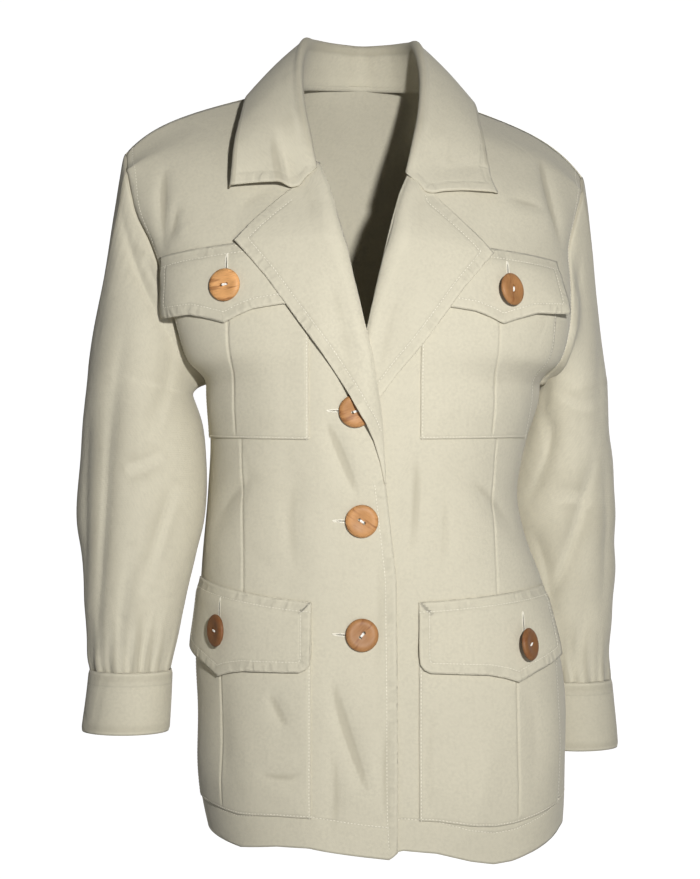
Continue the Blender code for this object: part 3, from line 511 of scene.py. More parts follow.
def fold_lift(points, outwards, folds, strength):
    """Soft troughs with a ridge at each side, on the points that face the way the fold is seen from."""
    facing = np.clip(-outwards[..., 1] * 1.6 + 0.25, 0, 1)
    away = np.clip(outwards[..., 1] * 1.6 + 0.25, 0, 1)
    lift = np.zeros(points.shape[:-1])
    spots = points[..., (0, 2)]
    for x0, z0, x1, z1, x2, z2, width, depth, behind in folds:
        run = bent_line((x0, z0), (x1, z1), (x2, z2))
        inside = (spots > run.min(axis=0) - 4 * width) & (spots < run.max(axis=0) + 4 * width)
        near = inside.all(axis=-1)
        if not near.any():
            continue
        gap, along = line_gap(spots[near], run)
        across = (gap / width) ** 2
        shape = 1.35 * (1 - 0.45 * across) * np.exp(-1.25 * np.sqrt(across + 0.12))
        fade = np.clip(np.sin(math.pi * along), 0, 1) ** 0.9
        lift[near] -= depth * strength * shape * fade * (away if behind else facing)[near]
    return lift


def drape(points, seed, size, amount):
    """Gentle uneven waves over a cloth, the same for every layer that lies on it."""
    rng = np.random.default_rng(seed)
    lift = np.zeros(points.shape[:-1])
    for _ in range(14):
        direction = unit(rng.normal(size=3))
        wave = 2 * math.pi / (size * rng.uniform(0.6, 1.9))
        lift += np.sin(points @ direction * wave + rng.uniform(0, 6.3)) * rng.uniform(0.3, 1.0)
    return lift * amount / 3.0


def body_lift(points, outwards, settings):
    """Folds and waves of the fronts and the back, followed by all that lies on them."""
    folds = fold_lift(points, outwards, BODY_FOLDS, settings.fold_strength)
    return folds + drape(points, 11, 105, settings.ripple / MM)


def overlap_lift(distance, height, side):
    """The right front is lifted over the left one and over its lapel where they lap."""
    if side > 0:
        return np.zeros(np.broadcast(distance, height).shape)
    near = step(-75, -34, -distance)
    under_lapel = step(-420, -385, height)
    above = 1 - step(-250, -215, height)
    return near * above * (OVERLAP_LIFT + under_lapel * (WALL + LAY_GAP))


def front_spot(side, distance, height, lift, settings, lap_height=None):
    """Points on a front panel or on a layer above it, and their normals."""
    distance, height = np.broadcast_arrays(np.asarray(distance, float), np.asarray(height, float))
    base = FRONT.at(distance * side, height)
    normal = FRONT.normal(distance * side, height)
    lap = overlap_lift(distance, height if lap_height is None else lap_height, side)
    return base + normal * (lift + lap + body_lift(base, normal, settings))[..., None]


def inset(line, gap):
    """A line in the flat moved to its left by the gap, with mitred corners."""
    line = np.array(line, float)
    run = unit(np.diff(line, axis=0))
    side = np.stack([-run[:, 1], run[:, 0]], axis=1)
    before = np.vstack([side[:1], side])
    after = np.vstack([side, side[-1:]])
    mitre = unit(before + after)
    scale = gap / np.maximum((mitre * after).sum(axis=1), 0.4)
    return line + mitre * scale[:, None]


def dense(line, spacing=1.5):
    """The same line with a point about every spacing."""
    line = np.array(line, float)
    return even(line, max(2, int(lengths_along(line)[-1] / spacing)))


class Panel:
    """One piece of cloth: its grid of outer points, its finished edges and the lines that are sewn on it."""

    def __init__(self, name, grid, closed=False, flip=False):
        self.name, self.grid, self.closed, self.flip = name, grid, closed, flip
        self.edges, self.lines, self.puckers = [], [], 1.0

    def normals(self):
        """Which way the cloth faces at each grid point."""
        if self.closed:
            across = np.roll(self.grid, -1, axis=1) - np.roll(self.grid, 1, axis=1)
        else:
            across = np.gradient(self.grid, axis=1)
        return unit(np.cross(across, np.gradient(self.grid, axis=0))) * (-1 if self.flip else 1)

    def track(self, rows, columns):
        """Points and normals at whole or broken numbers of rows and columns."""
        count = self.grid.shape[1]
        low_row = np.clip(rows.astype(int), 0, self.grid.shape[0] - 2)
        low_column = columns.astype(int)
        if not self.closed:
            low_column = np.clip(low_column, 0, count - 2)
        mix_row, mix_column = (rows - low_row)[:, None], (columns - low_column)[:, None]
        result = []
        for table in (self.grid, self.normals()):
            low, high = table[:, low_column % count], table[:, (low_column + 1) % count]
            mixed = low * (1 - mix_column) + high * mix_column
            index = np.arange(len(rows))
            result.append(mixed[low_row, index] * (1 - mix_row) + mixed[low_row + 1, index] * mix_row)
        return result[0], unit(result[1])

    def rows_from_edge(self, column, gap, last=False):
        """The broken row number that lies the gap away from the first or last row, along one column."""
        line = self.grid[::-1, column] if last else self.grid[:, column]
        place = np.interp(gap, lengths_along(line), np.arange(len(line)))
        return len(line) - 1 - place if last else place

    def sew_row(self, gap, last=False, start=0.0, end=1.0):
        """Sews a line along the first or last row, the gap inside the edge."""
        count = self.grid.shape[1]
        shares = np.linspace(start, end, 2 * count)
        columns = shares * (count if self.closed else count - 1)
        rows = np.array([self.rows_from_edge(int(round(c)) % count, gap, last) for c in columns])
        self.lines.append(self.track(rows, columns))

    def sew_column(self, gap, last=False, start=0, end=None):
        """Sews a line along the first or last column, the gap inside the edge."""
        rows = np.arange(start, self.grid.shape[0] if end is None else end)
        places = []
        for row in rows:
            line = self.grid[row, ::-1] if last else self.grid[row]
            place = np.interp(gap, lengths_along(line), np.arange(len(line)))
            places.append(len(line) - 1 - place if last else place)
        self.lines.append(self.track(rows.astype(float), np.array(places)))

    def sew(self, points):
        """Sews a line through points on the panel, with the normals of the nearest grid points."""
        tree = tree_of(self.grid.reshape(-1, 3))
        normals = self.normals().reshape(-1, 3)
        nearest = [tree.find(point)[1] for point in points]
        self.lines.append((np.array(points), normals[nearest]))


def tree_of(points):
    """A tree that finds the nearest of the points."""
    tree = KDTree(len(points))
    for index, point in enumerate(points):
        tree.insert(point, index)
    tree.balance()
    return tree


def hollow_of(panel, reach=6.0):
    """How far each grid point lies below the middle between its neighbours, added up for both directions."""
    total = np.zeros_like(panel.grid)
    for axis in (0, 1):
        spacing = np.linalg.norm(np.diff(panel.grid, axis=axis), axis=2).mean()
        count = panel.grid.shape[axis]
        index, hop = np.arange(count), max(1, round(reach / spacing))
        if not (panel.closed and axis == 1):
            hop = np.minimum(hop, np.minimum(index, count - 1 - index))
        low, high = (index - hop) % count, (index + hop) % count
        total += (np.take(panel.grid, low, axis) + np.take(panel.grid, high, axis)) / 2 - panel.grid
    return (total * panel.normals()).sum(axis=2).ravel()


def rim(grid, top=True):
    """The outline of a grid from its upper left corner, down, across and up again, and back along the top."""
    sides = [grid[::-1, 0], grid[0], grid[:, -1]]
    return np.vstack(sides + [grid[-1, ::-1]] * top)


def gap_to(points, lines, furthest=40.0):
    """Distance of each point from the nearest line, its place along it, and how far it is from a corner."""
    lines = [dense(line, 1.0) for line in lines if len(line)]
    if not lines:
        return np.full(len(points), furthest), np.zeros(len(points)), np.zeros(len(points))
    spots = np.concatenate(lines)
    straight = (unit(spots[4:] - spots[2:-2]) * unit(spots[2:-2] - spots[:-4])).sum(axis=1)
    corners = np.flatnonzero(straight < 0.8) + 2
    clear = np.abs(np.arange(len(spots))[:, None] - corners[None, :]).min(axis=1, initial=100)
    tree = tree_of(spots)
    found = [tree.find(point) for point in points]
    nearest = np.array([index for _, index, _ in found])
    return np.array([min(gap, furthest) for _, _, gap in found]), nearest.astype(float), clear[nearest]


def lengths_over(grid, axis):
    """Length from the first row or column to each grid point."""
    gaps = np.linalg.norm(np.diff(grid, axis=axis), axis=2)
    return np.insert(np.cumsum(gaps, axis=axis), 0, 0, axis=axis)


def make_mesh(name, grid, closed, flip):
    """A mesh over the grid, and its flat cut as the UV map, which goes on past the seam of a closed ring."""
    rows, columns = grid.shape[:2]
    index = np.arange(rows * columns).reshape(rows, columns)
    after = np.roll(index, -1, axis=1) if closed else index[:, 1:]
    here = index if closed else index[:, :-1]
    quads = np.stack([here[:-1], after[:-1], after[1:], here[1:]], axis=-1).reshape(-1, 4)
    if flip:
        quads = quads[:, ::-1]
    mesh = bpy.data.meshes.new(name)
    mesh.from_pydata((grid.reshape(-1, 3) * MM).tolist(), [], quads.tolist())
    run_across, run_up = lengths_over(grid, 1), lengths_over(grid, 0)
    run_across -= run_across[:, columns // 2][:, None]
    flat = np.stack([run_across, run_up], axis=-1).reshape(-1, 2) * MM
    corner = np.empty(len(mesh.loops), int)
    mesh.loops.foreach_get("vertex_index", corner)
    spots = flat[corner]
    if closed:
        first = (corner % columns) == 0
        quad = corner.reshape(-1, 4) % columns
        wraps = np.repeat((quad.max(axis=1) == columns - 1) & (quad.min(axis=1) == 0), 4)
        last = np.linalg.norm(grid[:, 0] - grid[:, -1], axis=1)
        whole = (run_across[:, -1] - run_across[:, 0] + last) * MM
        spots[:, 0] += np.where(first & wraps, whole[corner // columns], 0)
    mesh.uv_layers.new(name="cloth").data.foreach_set("uv", spots.ravel())
    return mesh


def new_object(name, data):
    """An object in the scene that holds the data."""
    made = bpy.data.objects.new(name, data)
    bpy.context.scene.collection.objects.link(made)
    return made


def put(name, mesh, paint, replaced):
    """Makes a piece of a mesh, and says which body and replaced nodes it has."""
    mesh.materials.append(paint)
    mesh.shade_smooth()
    piece = new_object(name, mesh)
    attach(piece, "root")
    if replaced:
        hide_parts(*replaced)
    return piece


def finish_panel(panel, settings, double=False):
    """Makes the panel's mesh, its wall and its stitching."""
    mesh = make_mesh(panel.name + "_cloth", panel.grid, panel.closed, panel.flip)
    points = panel.grid.reshape(-1, 3)
    edge, along, clear = gap_to(points, panel.edges)
    sewn, _, _ = gap_to(points, [line for line, _ in panel.lines])
    band = panel.puckers * step(5, 13, clear)
    marks = {"edge": edge, "along": along, "sewn": sewn, "hollow": hollow_of(panel), "band": band}
    for name, values in marks.items():
        mesh.attributes.new(name, "FLOAT", "POINT").data.foreach_set("value", values.astype(np.float32))
    piece = put(panel.name + "_cloth", mesh, material("cotton_twill", settings), [panel.name])
    wall_up = piece.modifiers.new("wall", "SOLIDIFY")
    wall_up.thickness = DOUBLE_WALL * MM if double else settings.wall
    wall_up.offset = -1.0
    sewn = [stitching(panel.name + "_stitching", panel.lines, settings)] if panel.lines else []
    width = np.linalg.norm(np.diff(panel.grid, axis=1), axis=2).sum(axis=1)
    if panel.closed:
        width = width + np.linalg.norm(panel.grid[:, 0] - panel.grid[:, -1], axis=1)


class Signal:
    """A number or a colour inside a shader, which can be used in sums."""

    def __init__(self, tree, socket):
        self.tree, self.socket = tree, socket

    def math(self, operation, *others):
        sockets = dict(enumerate((self, *others)))
        made = add_node(self.tree, "ShaderNodeMath", {"operation": operation}, sockets)
        return Signal(self.tree, made.outputs[0])

    def __add__(self, other):
        return self.math("ADD", other)

    def __sub__(self, other):
        return self.math("SUBTRACT", other)

    def __mul__(self, other):
        return self.math("MULTIPLY", other)

    def __truediv__(self, other):
        return self.math("DIVIDE", other)

    def __neg__(self):
        return self.math("MULTIPLY", -1.0)

    def __rsub__(self, other):
        return (-self) + other

    def __rtruediv__(self, other):
        return self.math("POWER", -1.0) * other

    __radd__ = __add__
    __rmul__ = __mul__

    def bell(self, middle, width):
        """1 where the number is the middle, falling smoothly to 0 over about the width."""
        away = (self - middle) / width
        return (away * away * -1.0).math("EXPONENT")

    def above(self, low, high):
        """0 below the low value, 1 above the high one."""
        sockets = {"Value": self, "From Min": low, "From Max": high}
        made = add_node(self.tree, "ShaderNodeMapRange", {"interpolation_type": "SMOOTHSTEP"}, sockets)
        return Signal(self.tree, made.outputs["Result"])


def connect(tree, value, socket):
    """Links a signal or a socket to the socket, or sets its value."""
    if isinstance(value, Signal):
        tree.links.new(value.socket, socket)
    elif isinstance(value, bpy.types.NodeSocket):
        tree.links.new(value, socket)
    else:
        socket.default_value = value


def add_node(tree, kind, settings=None, sockets=None):
    """Adds a node: first its settings, then the value or link of each socket, by name or number."""
    made = tree.nodes.new(kind)
    for name, value in (settings or {}).items():
        setattr(made, name, value)
    for name, value in (sockets or {}).items():
        connect(tree, value, made.inputs[name])
    return made


class Shade:
    """A material being made: adds nodes, and joins them to its shader."""

    def __init__(self, name, finish):
        self.material = bpy.data.materials.new(name)
        self.material.use_nodes = True
        self.tree = self.material.node_tree
        self.shader = self.tree.nodes["Principled BSDF"]
        for socket, value in finish.items():
            self.use(socket, value)

    def node(self, kind, settings=None, sockets=None, output=0):
        return Signal(self.tree, add_node(self.tree, kind, settings, sockets).outputs[output])

    def place(self):
        return self.node("ShaderNodeTexCoord", output="Object")

    def mark(self, name):
        """A number that is kept on the mesh."""
        return self.node("ShaderNodeAttribute", {"attribute_name": name}, output="Fac")

    def noise(self, vector, scale, detail=2.0, roughness=0.5):
        sockets = {"Vector": vector, "Scale": scale, "Detail": detail, "Roughness": roughness}
        return self.node("ShaderNodeTexNoise", {}, sockets)

    def stretched(self, vector, scale, turn=0.0):
        sockets = {"Vector": vector, "Scale": scale, "Rotation": (0, 0, turn)}
        return self.node("ShaderNodeMapping", {}, sockets)

    def mix(self, share, first, second):
        """Mixes two colours, whose sockets are the mix node's seventh and eighth."""
        return self.node("ShaderNodeMix", {"data_type": "RGBA"}, {0: share, 6: first, 7: second}, output=2)

    def use(self, socket, value):
        connect(self.tree, value, self.shader.inputs[socket])

    def bump(self, height, distance, strength=1.0):
        sockets = {"Height": height, "Distance": distance, "Strength": strength}
        self.use("Normal", self.node("ShaderNodeBump", {}, sockets))


def shade_of(colour, factor, tint=(1.0, 1.0, 1.0)):
    """The colour made lighter or darker, and tinted."""
    return (*[min(channel * factor * t, 1.0) for channel, t in zip(colour, tint)], 1.0)


def cloth_look(settings):
    """Cotton twill: diagonal weave, nap, mottling, puckered seams, a darker line along each edge and a few
    faint stains, with painted shade and highlights in the folds and seams.
    """
    finish = {"Roughness": 0.9, "Specular IOR Level": 0.25, "Sheen Weight": 0.12, "Sheen Roughness": 0.6}
    look = Shade("cotton_twill", finish)
    flat = look.node("ShaderNodeUVMap", {"uv_map": "cloth"})
    spot = look.place()
    u, v = (look.node("ShaderNodeSeparateXYZ", {}, {"Vector": flat}, output=axis) for axis in "XY")
    edge, sewn, along, hollow, band = map(look.mark, ("edge", "sewn", "along", "hollow", "band"))
    rib = 2 * math.pi / settings.weave
    twill = ((u * 0.8 + v * 0.6) * rib).math("SINE") * 0.5 + 0.5
    threads = (u * rib * 1.7).math("SINE") * (v * rib * 1.7).math("SINE")
    nap = look.noise(flat, 900, 3.0, 0.6)
    slub = look.noise(look.stretched(flat, (60, 900, 1)), 1.0, 2.0)
    mottle = look.noise(spot, 16, 4.0, 0.6)
    broad = look.noise(spot, 4.2, 2.0)
    beside = look.node("ShaderNodeCombineXYZ", {}, {"X": along * 0.14, "Y": edge * 0.05})
    pucker = look.noise(beside, 1.0, 1.0).above(0.36, 0.64)
    uneven = look.noise(spot, 22, 1.0).above(0.34, 0.58)
    margin = (edge + sewn).bell(9.6, 2.6) * edge.above(0.2, 1.6) * sewn.above(0.2, 1.8) * band * uneven
    base = settings.cloth_colour
    colour = look.mix(mottle.above(0.3, 0.75), shade_of(base, 0.955), shade_of(base, 1.03))
    colour = look.mix(broad.above(0.35, 0.7) * 0.5, colour, shade_of(base, 0.965, (1.0, 0.99, 0.96)))
    fleck = look.noise(flat, 330, 2.0, 0.6)
    colour = look.mix(twill * 0.2 + nap * 0.3, colour, shade_of(base, 0.86))
    colour = look.mix(fleck.above(0.35, 0.65) * 0.75, colour, shade_of(base, 0.86))
    colour = look.mix(look.noise(spot, 120, 2.0).above(0.35, 0.65) * 0.5, colour, shade_of(base, 0.95))
    colour = look.mix(slub.above(0.6, 0.8) * 0.12, colour, shade_of(base, 1.12))
    # Painted shade: a darker line along each row of stitching, in the groove the thread pulls into the cloth
    colour = look.mix(sewn.bell(0, 1.0) * 0.5, colour, shade_of(base, 0.72))
    # Painted shade in the dips of the puckers beside the stitching
    colour = look.mix(margin * pucker * 0.36, colour, shade_of(base, 0.74))
    # Painted shade in hollows: folds, creases and seam dips are darkened by how far the cloth lies below its
    # neighbours
    colour = look.mix(hollow.above(0.08, 1.5) * 0.62, colour, shade_of(base, 0.66, (1.0, 0.98, 0.94)))
    # Painted highlight on ridges, where the cloth stands above its neighbours
    colour = look.mix((-hollow).above(0.5, 2.0) * 0.25, colour, shade_of(base, 1.08))
    # A darker line right at each finished edge, and a lighter band about 2 mm inside it
    colour = look.mix(edge.bell(0, 1.1) * 0.3, colour, shade_of(base, 0.80, (1.0, 0.97, 0.92)))
    colour = look.mix(edge.bell(1.9, 0.9) * 0.35, colour, shade_of(base, 1.08))
    stain = look.noise(spot, 8.5, 3.0, 0.65).above(0.70, 0.80)
    colour = look.mix(stain * 0.3, colour, shade_of(base, 0.86, (1.02, 0.94, 0.78)))
    look.use("Base Color", colour)
    look.use("Roughness", 0.86 + mottle * 0.1)
    height = twill * 0.05 + threads * 0.02 + nap * 0.1 + slub * 0.03
    height = height + sewn.bell(0, 1.3) * -0.45 + margin * pucker * -0.6 + edge.above(0.0, 2.2) * 0.25
    crease = (look.noise(spot, 11, 2.0, 0.45) - 0.5).math("ABSOLUTE").above(0.0, 0.05)
    patch = look.noise(spot, 7, 1.0).above(0.45, 0.62)
    height = height + look.noise(spot, 38, 3.0, 0.55) * 0.9 + fleck * 0.12 + crease * patch * 0.35
    look.bump(height, 0.001, 0.85)
    return look.material


def thread_look(name, colour):
    """Twisted cotton thread."""
    look = Shade(name, {"Roughness": 0.7, "Specular IOR Level": 0.35})
    fibre = look.noise(look.place(), 2600, 2.0)
    look.use("Base Color", look.mix(fibre, shade_of(colour, 0.88), shade_of(colour, 1.05)))
    look.bump(fibre, 0.0001, 0.6)
    return look.material


def wood_look(settings):
    """Turned wood with a slanting grain, darker streaks, fine pores and a soft polish."""
    finish = {"Roughness": 0.45, "Specular IOR Level": 0.25, "Coat Weight": 0.05, "Coat Roughness": 0.4}
    look = Shade("turned_wood", finish)
    grain = look.node("ShaderNodeUVMap", {"uv_map": "grain"})
    bands = look.noise(look.stretched(grain, (26, 190, 1), GRAIN_TURN), 1.0, 4.0, 0.6)
    fine = look.noise(look.stretched(grain, (160, 1700, 1), GRAIN_TURN), 1.0, 3.0)
    broad = look.noise(grain, 55, 2.0)
    base, dark = settings.wood_colour, settings.grain_colour
    tone = look.mark("tone")
    colour = look.mix(broad.above(0.3, 0.7), shade_of(base, 0.85), shade_of(base, 1.16))
    # Each button's lightness: its wood's own tone, with painted shade on the buttons that face away from the
    # light
    colour = look.mix(tone, shade_of(base, 0.24, (1.0, 0.78, 0.75)), colour)
    colour = look.mix(bands.above(0.52, 0.64) * 0.6, colour, shade_of(dark, 1.0))
    colour = look.mix(fine.above(0.5, 0.75) * 0.4, colour, shade_of(dark, 0.9))
    look.use("Base Color", colour)
    look.use("Roughness", 0.42 + fine * 0.2)
    look.bump(fine * 0.4 + bands * 0.3, 0.0001, 0.5)
    return look.material


def hole_look(settings):
    """The dark inside of a buttonhole's slit."""
    look = Shade("slit_shadow", {"Roughness": 1.0})
    fibre = look.noise(look.place(), 1800, 2.0)
    deep, shallow = shade_of(settings.cloth_colour, 0.05), shade_of(settings.cloth_colour, 0.16)
    look.use("Base Color", look.mix(fibre, deep, shallow))
    return look.material


MATERIALS = {
    "cotton_twill": cloth_look,
    "topstitch_thread": lambda settings: thread_look("topstitch_thread", settings.thread_colour),
    "button_thread": lambda settings: thread_look("button_thread", settings.button_thread_colour),
    "turned_wood": wood_look,
    "slit_shadow": hole_look,
}


def material(name, settings):
    """One of the jacket's materials, made the first time that it is asked for."""
    return bpy.data.materials.get(name) or MATERIALS[name](settings)


def evaluated_mesh(item):
    """The item's mesh with its modifiers applied."""
    bpy.context.view_layer.update()
    return bpy.data.meshes.new_from_object(item.evaluated_get(bpy.context.evaluated_depsgraph_get()))


def stitch_tree():
    """Geometry nodes that lay stitches end to end along lines, each turned to the cloth under it."""
    name = "Stitches along lines"
    if name in bpy.data.node_groups:
        return bpy.data.node_groups[name]
    tree = bpy.data.node_groups.new(name, "GeometryNodeTree")
    inputs = {
        "Lines": "Geometry", "Pitch": "Float", "Length": "Float", "Width": "Float", "Turn": "Float",
        "Seed": "Int", "Thread": "Material",
    }
    for label, kind in inputs.items():
        tree.interface.new_socket(name=label, in_out="INPUT", socket_type="NodeSocket" + kind)
    tree.interface.new_socket(name="Stitches", in_out="OUTPUT", socket_type="NodeSocketGeometry")
    given = add_node(tree, "NodeGroupInput").outputs

    def node(kind, settings=None, sockets=None, output=0):
        return add_node(tree, kind, settings, sockets).outputs[output]

    curve = node("GeometryNodeMeshToCurve", {}, {"Mesh": given["Lines"]})
    points = node("GeometryNodeResampleCurve", {"mode": "LENGTH"}, {"Curve": curve, "Length": given["Pitch"]})
    up = node("GeometryNodeInputNamedAttribute", {"data_type": "FLOAT_VECTOR"}, {"Name": "up"}, "Attribute")
    along = node("GeometryNodeInputTangent")
    lies = node("FunctionNodeAlignRotationToVector", {"axis": "Z"}, {"Vector": up})
    sideways = {"axis": "X", "pivot_axis": "Z"}
    runs = node("FunctionNodeAlignRotationToVector", sideways, {"Rotation": lies, "Vector": along})
    angle = node("FunctionNodeAxisAngleToRotation", {}, {"Axis": (0, 0, 1), "Angle": given["Turn"]})
    local = {"rotation_space": "LOCAL"}
    turned = node("FunctionNodeRotateRotation", local, {"Rotation": runs, "Rotate By": angle})
    axes = {"X": given["Length"], "Y": given["Width"], "Z": given["Width"]}
    size = node("ShaderNodeCombineXYZ", {}, axes)
    ends = {0: (0.84, 0.85, 0.6), 1: (1.06, 1.1, 0.8), "Seed": given["Seed"]}
    uneven = node("FunctionNodeRandomValue", {"data_type": "FLOAT_VECTOR"}, ends)
    scaled = node("ShaderNodeVectorMath", {"operation": "MULTIPLY"}, {0: size, 1: uneven})
    bead = node("GeometryNodeMeshIcoSphere", {}, {"Radius": 0.5, "Subdivisions": 2})
    places = {"Points": points, "Instance": bead, "Rotation": turned, "Scale": scaled}
    placed = node("GeometryNodeInstanceOnPoints", {}, places)
    real = node("GeometryNodeRealizeInstances", {}, {"Geometry": placed})
    painted = node("GeometryNodeSetMaterial", {}, {"Geometry": real, "Material": given["Thread"]})
    add_node(tree, "NodeGroupOutput", {}, {0: painted})
    return tree


def stitching(name, lines, settings, sizes=None, turn=0.0, rise=0.12):
    """Stitches along lines of points and normals, as one plain mesh. Sizes are pitch, length and width."""
    pitch, length, width = sizes or (settings.stitch_pitch, settings.stitch_length, settings.stitch_width)
    points, edges, ups = [], [], []
    for line, normals in lines:
        run = dense(np.hstack([line, normals]), 1.5)
        start = len(points)
        points.extend(run[:, :3] + unit(run[:, 3:]) * rise)
        ups.extend(unit(run[:, 3:]))
        edges.extend((start + index, start + index + 1) for index in range(len(run) - 1))
    mesh = bpy.data.meshes.new(name)
    mesh.from_pydata((np.array(points) * MM).tolist(), edges, [])
    up = mesh.attributes.new("up", "FLOAT_VECTOR", "POINT")
    up.data.foreach_set("vector", np.array(ups, np.float32).ravel())
    path = new_object(name + "_path", mesh)
    maker = path.modifiers.new("stitches", "NODES")
    maker.node_group = stitch_tree()
    values = {
        "Pitch": pitch, "Length": length, "Width": width, "Turn": turn, "Seed": 7,
        "Thread": material("topstitch_thread", settings),
    }
    for item in maker.node_group.interface.items_tree:
        if item.in_out == "INPUT" and item.name in values:
            maker[item.identifier] = values[item.name]
    made = evaluated_mesh(path)
    made.name = name
    bpy.data.objects.remove(path)
    made.shade_smooth()
    piece = new_object(name, made)
    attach(piece, "root")
    return piece


def hem_height(distance, height):
    """Near the hem the rows bend to the hem's own line."""
    near = np.clip((HEM_BEND_TOP - height) / HEM_BEND, 0, 1)
    return height + near * (table_read(HEM_LINE, distance) - HEM)


def dart_place(height, side):
    """Distance of the dart from the centre front."""
    return table_read(DART, height, 1 if side < 0 else 2)


def front_columns(height, side):
    """Distances of a front panel's columns at one height, close together beside the dart."""
    inner = table_read(FRONT_EDGE, height)
    outer = FRONT.reach(height, side) - SEAM_GAP / 2
    dart = min(dart_place(height, side), outer - 14)
    return spaced((inner, dart - 7, dart + 7, outer), (36, 17, 26))


def dart_dip(distance, height, side):
    """The dart's sewn line, a little lower than the cloth at its sides."""
    along = step(-505, -490, height) * (1 - step(-352, -335, height))
    gap = distance - dart_place(height, side)
    return along * (0.2 * hump(gap, 8) - 0.9 * hump(gap, 1.3))


def build_fronts(settings):
    """Two fronts, each with a dart. The right one laps over the left and shows its edge stitching."""
    for side, word in SIDES:
        heights = spaced((HEM, HEM_FINE_TOP, TOP), (12, 196))
        distance = np.array([front_columns(height, side) for height in heights])
        level = hem_height(distance * side, heights[:, None] + 0 * distance)
        lift = dart_dip(distance, level, side) - SEAM_DIP * hump(distance[:, -1:] - distance, 1.6)
        panel = Panel(f"front_{word}", front_spot(side, distance, level, lift, settings), flip=side < 0)
        low = heights <= BREAK_HEIGHT
        panel.edges = [np.vstack([panel.grid[low, 0][::-1], panel.grid[0]])]
        panel.sew_row(HEM_BAND, start=0.035)
        if side < 0:
            panel.sew_column(SEAM_STITCH, start=4, end=int(low.sum()) - 4)
        above = int((heights < ARMPIT_HEIGHT + 4).sum())
        panel.sew_column(SEAM_STITCH, last=True, start=above)
        panel.edges.append(panel.grid[above:, -1])
        finish_panel(panel, settings)


def build_back(settings):
    """One back panel, up to the shoulder seams and the neck."""
    heights = spaced((HEM, HEM_FINE_TOP, TOP), (10, 180))
    trim = SEAM_GAP / 2 / BACK.length.mean()
    shares = np.linspace(trim, 1 - trim, 130)
    ends = table_read(HEM_LINE, np.array([-230, 250])) - HEM
    near = np.clip((HEM_BEND_TOP - heights) / HEM_BEND, 0, 1)[:, None]
    level = heights[:, None] + near * np.interp(shares, (0, 1), ends)[None, :]
    points = BACK.part(shares[None, :] + 0 * level, level)
    normal = unit(np.cross(np.gradient(points, axis=0), np.gradient(points, axis=1)))
    run = np.minimum(shares, 1 - shares)[None, :] * BACK.length.mean()
    lift = body_lift(points, normal, settings) * step(0, 14, run) - SEAM_DIP * hump(run, 1.6)
    lift = lift * (1 - step(-30, -5, level))
    panel = Panel("back", points + normal * lift[..., None], flip=True)
    panel.edges = [panel.grid[0]]
    panel.sew_row(HEM_BAND)
    above = int((heights < ARMPIT_HEIGHT + 4).sum())
    for last in (False, True):
        panel.sew_column(SEAM_STITCH, last=last, start=above, end=len(heights) - 6)
    panel.edges += [panel.grid[above:, 0], panel.grid[above:, -1]]
    finish_panel(panel, settings)


def build_pockets(settings):
    """Each pocket is narrowed where the front under it is."""
    for kind, (inner, outer, low, high, pleat, _) in POCKETS.items():
        knots = (inner, inner + 4, pleat - 7, pleat + 7, outer - 4, outer)
        across, heights = spaced(knots, (4, 26, 19, 16, 4)), spaced((low, low + 4, high), (4, 50))
        for side, word in SIDES:
            scale = np.minimum(1.0, (FRONT.reach(heights, side) - 7) / outer)[:, None]
            distance, level = across[None, :] * scale, heights[:, None] + 0 * across[None, :]
            edge = np.minimum(np.minimum(distance - inner * scale, outer * scale - distance), level - low)
            level = hem_height(distance * side, level)
            gap = distance - pleat * scale
            fold = 0.2 * hump(gap, 9) - hump(gap, 1.3)
            sag = 1.1 * hump(level - low - 26, 24) * step(4, 30, edge)
            lift = 1.15 + 0.7 * (1 - np.exp(-edge / 3)) + step(1, 9, edge) * fold + sag
            grid = front_spot(side, distance, level, lift, settings)
            panel = Panel(f"pocket_{kind}_{word}", grid, flip=side < 0)
            panel.edges, panel.puckers = [rim(panel.grid, top=False)], 0.0
            panel.sew_row(POCKET_STITCH)
            panel.sew_column(POCKET_STITCH)
            panel.sew_column(POCKET_STITCH, last=True)
            finish_panel(panel, settings)


def flap_grid(kind, side):
    """Distances and heights of a flap's grid, with its outline's points kept."""
    outline = np.array(FLAPS[kind], float)
    top = POCKETS[kind][5]
    outline[:, 0] *= min(1.0, (FRONT.reach(top, side) - 4) / outline[-1, 0])
    run = lengths_along(outline)
    spots = np.unique(np.concatenate([run, np.linspace(0, run[-1], 64)]))
    line = np.stack([np.interp(spots, run, outline[:, axis]) for axis in (0, 1)], axis=1)
    down = np.linspace(1, 0, 26)[:, None]
    return line[None, :, 0] + 0 * down, top - line[None, :, 1] * down, line, top


def flap_spot(kind, side, distance, height, edge, settings, extra=0.0):
    """Points on a flap, which lies close at its top edge and stands off over the pocket."""
    top = POCKETS[kind][5]
    low = top - table_read(FLAPS[kind], distance)
    hang = step(0, 17, top - height)
    flare = FLARE[kind] * step(0.7, 1.0, distance / FLAPS[kind][-1][0]) * step(6, 50, top - height)
    lift = FLAP_TOP_LIFT + (FLAP_LIFT - FLAP_TOP_LIFT) * hang - 0.35 * hump(edge, 3.0)
    lift = lift + 1.3 * hump(height - low, 14) * hang + flare + extra
    return front_spot(side, distance, height, lift, settings, lap_height=top)


def flap_line(kind, side, distance, height, settings, extra=0.02):
    """Points of a line sewn on a flap, or of what lies on it."""
    edge = np.full(len(distance), float(FLAP_STITCH))
    return flap_spot(kind, side, distance, height, edge, settings, extra)


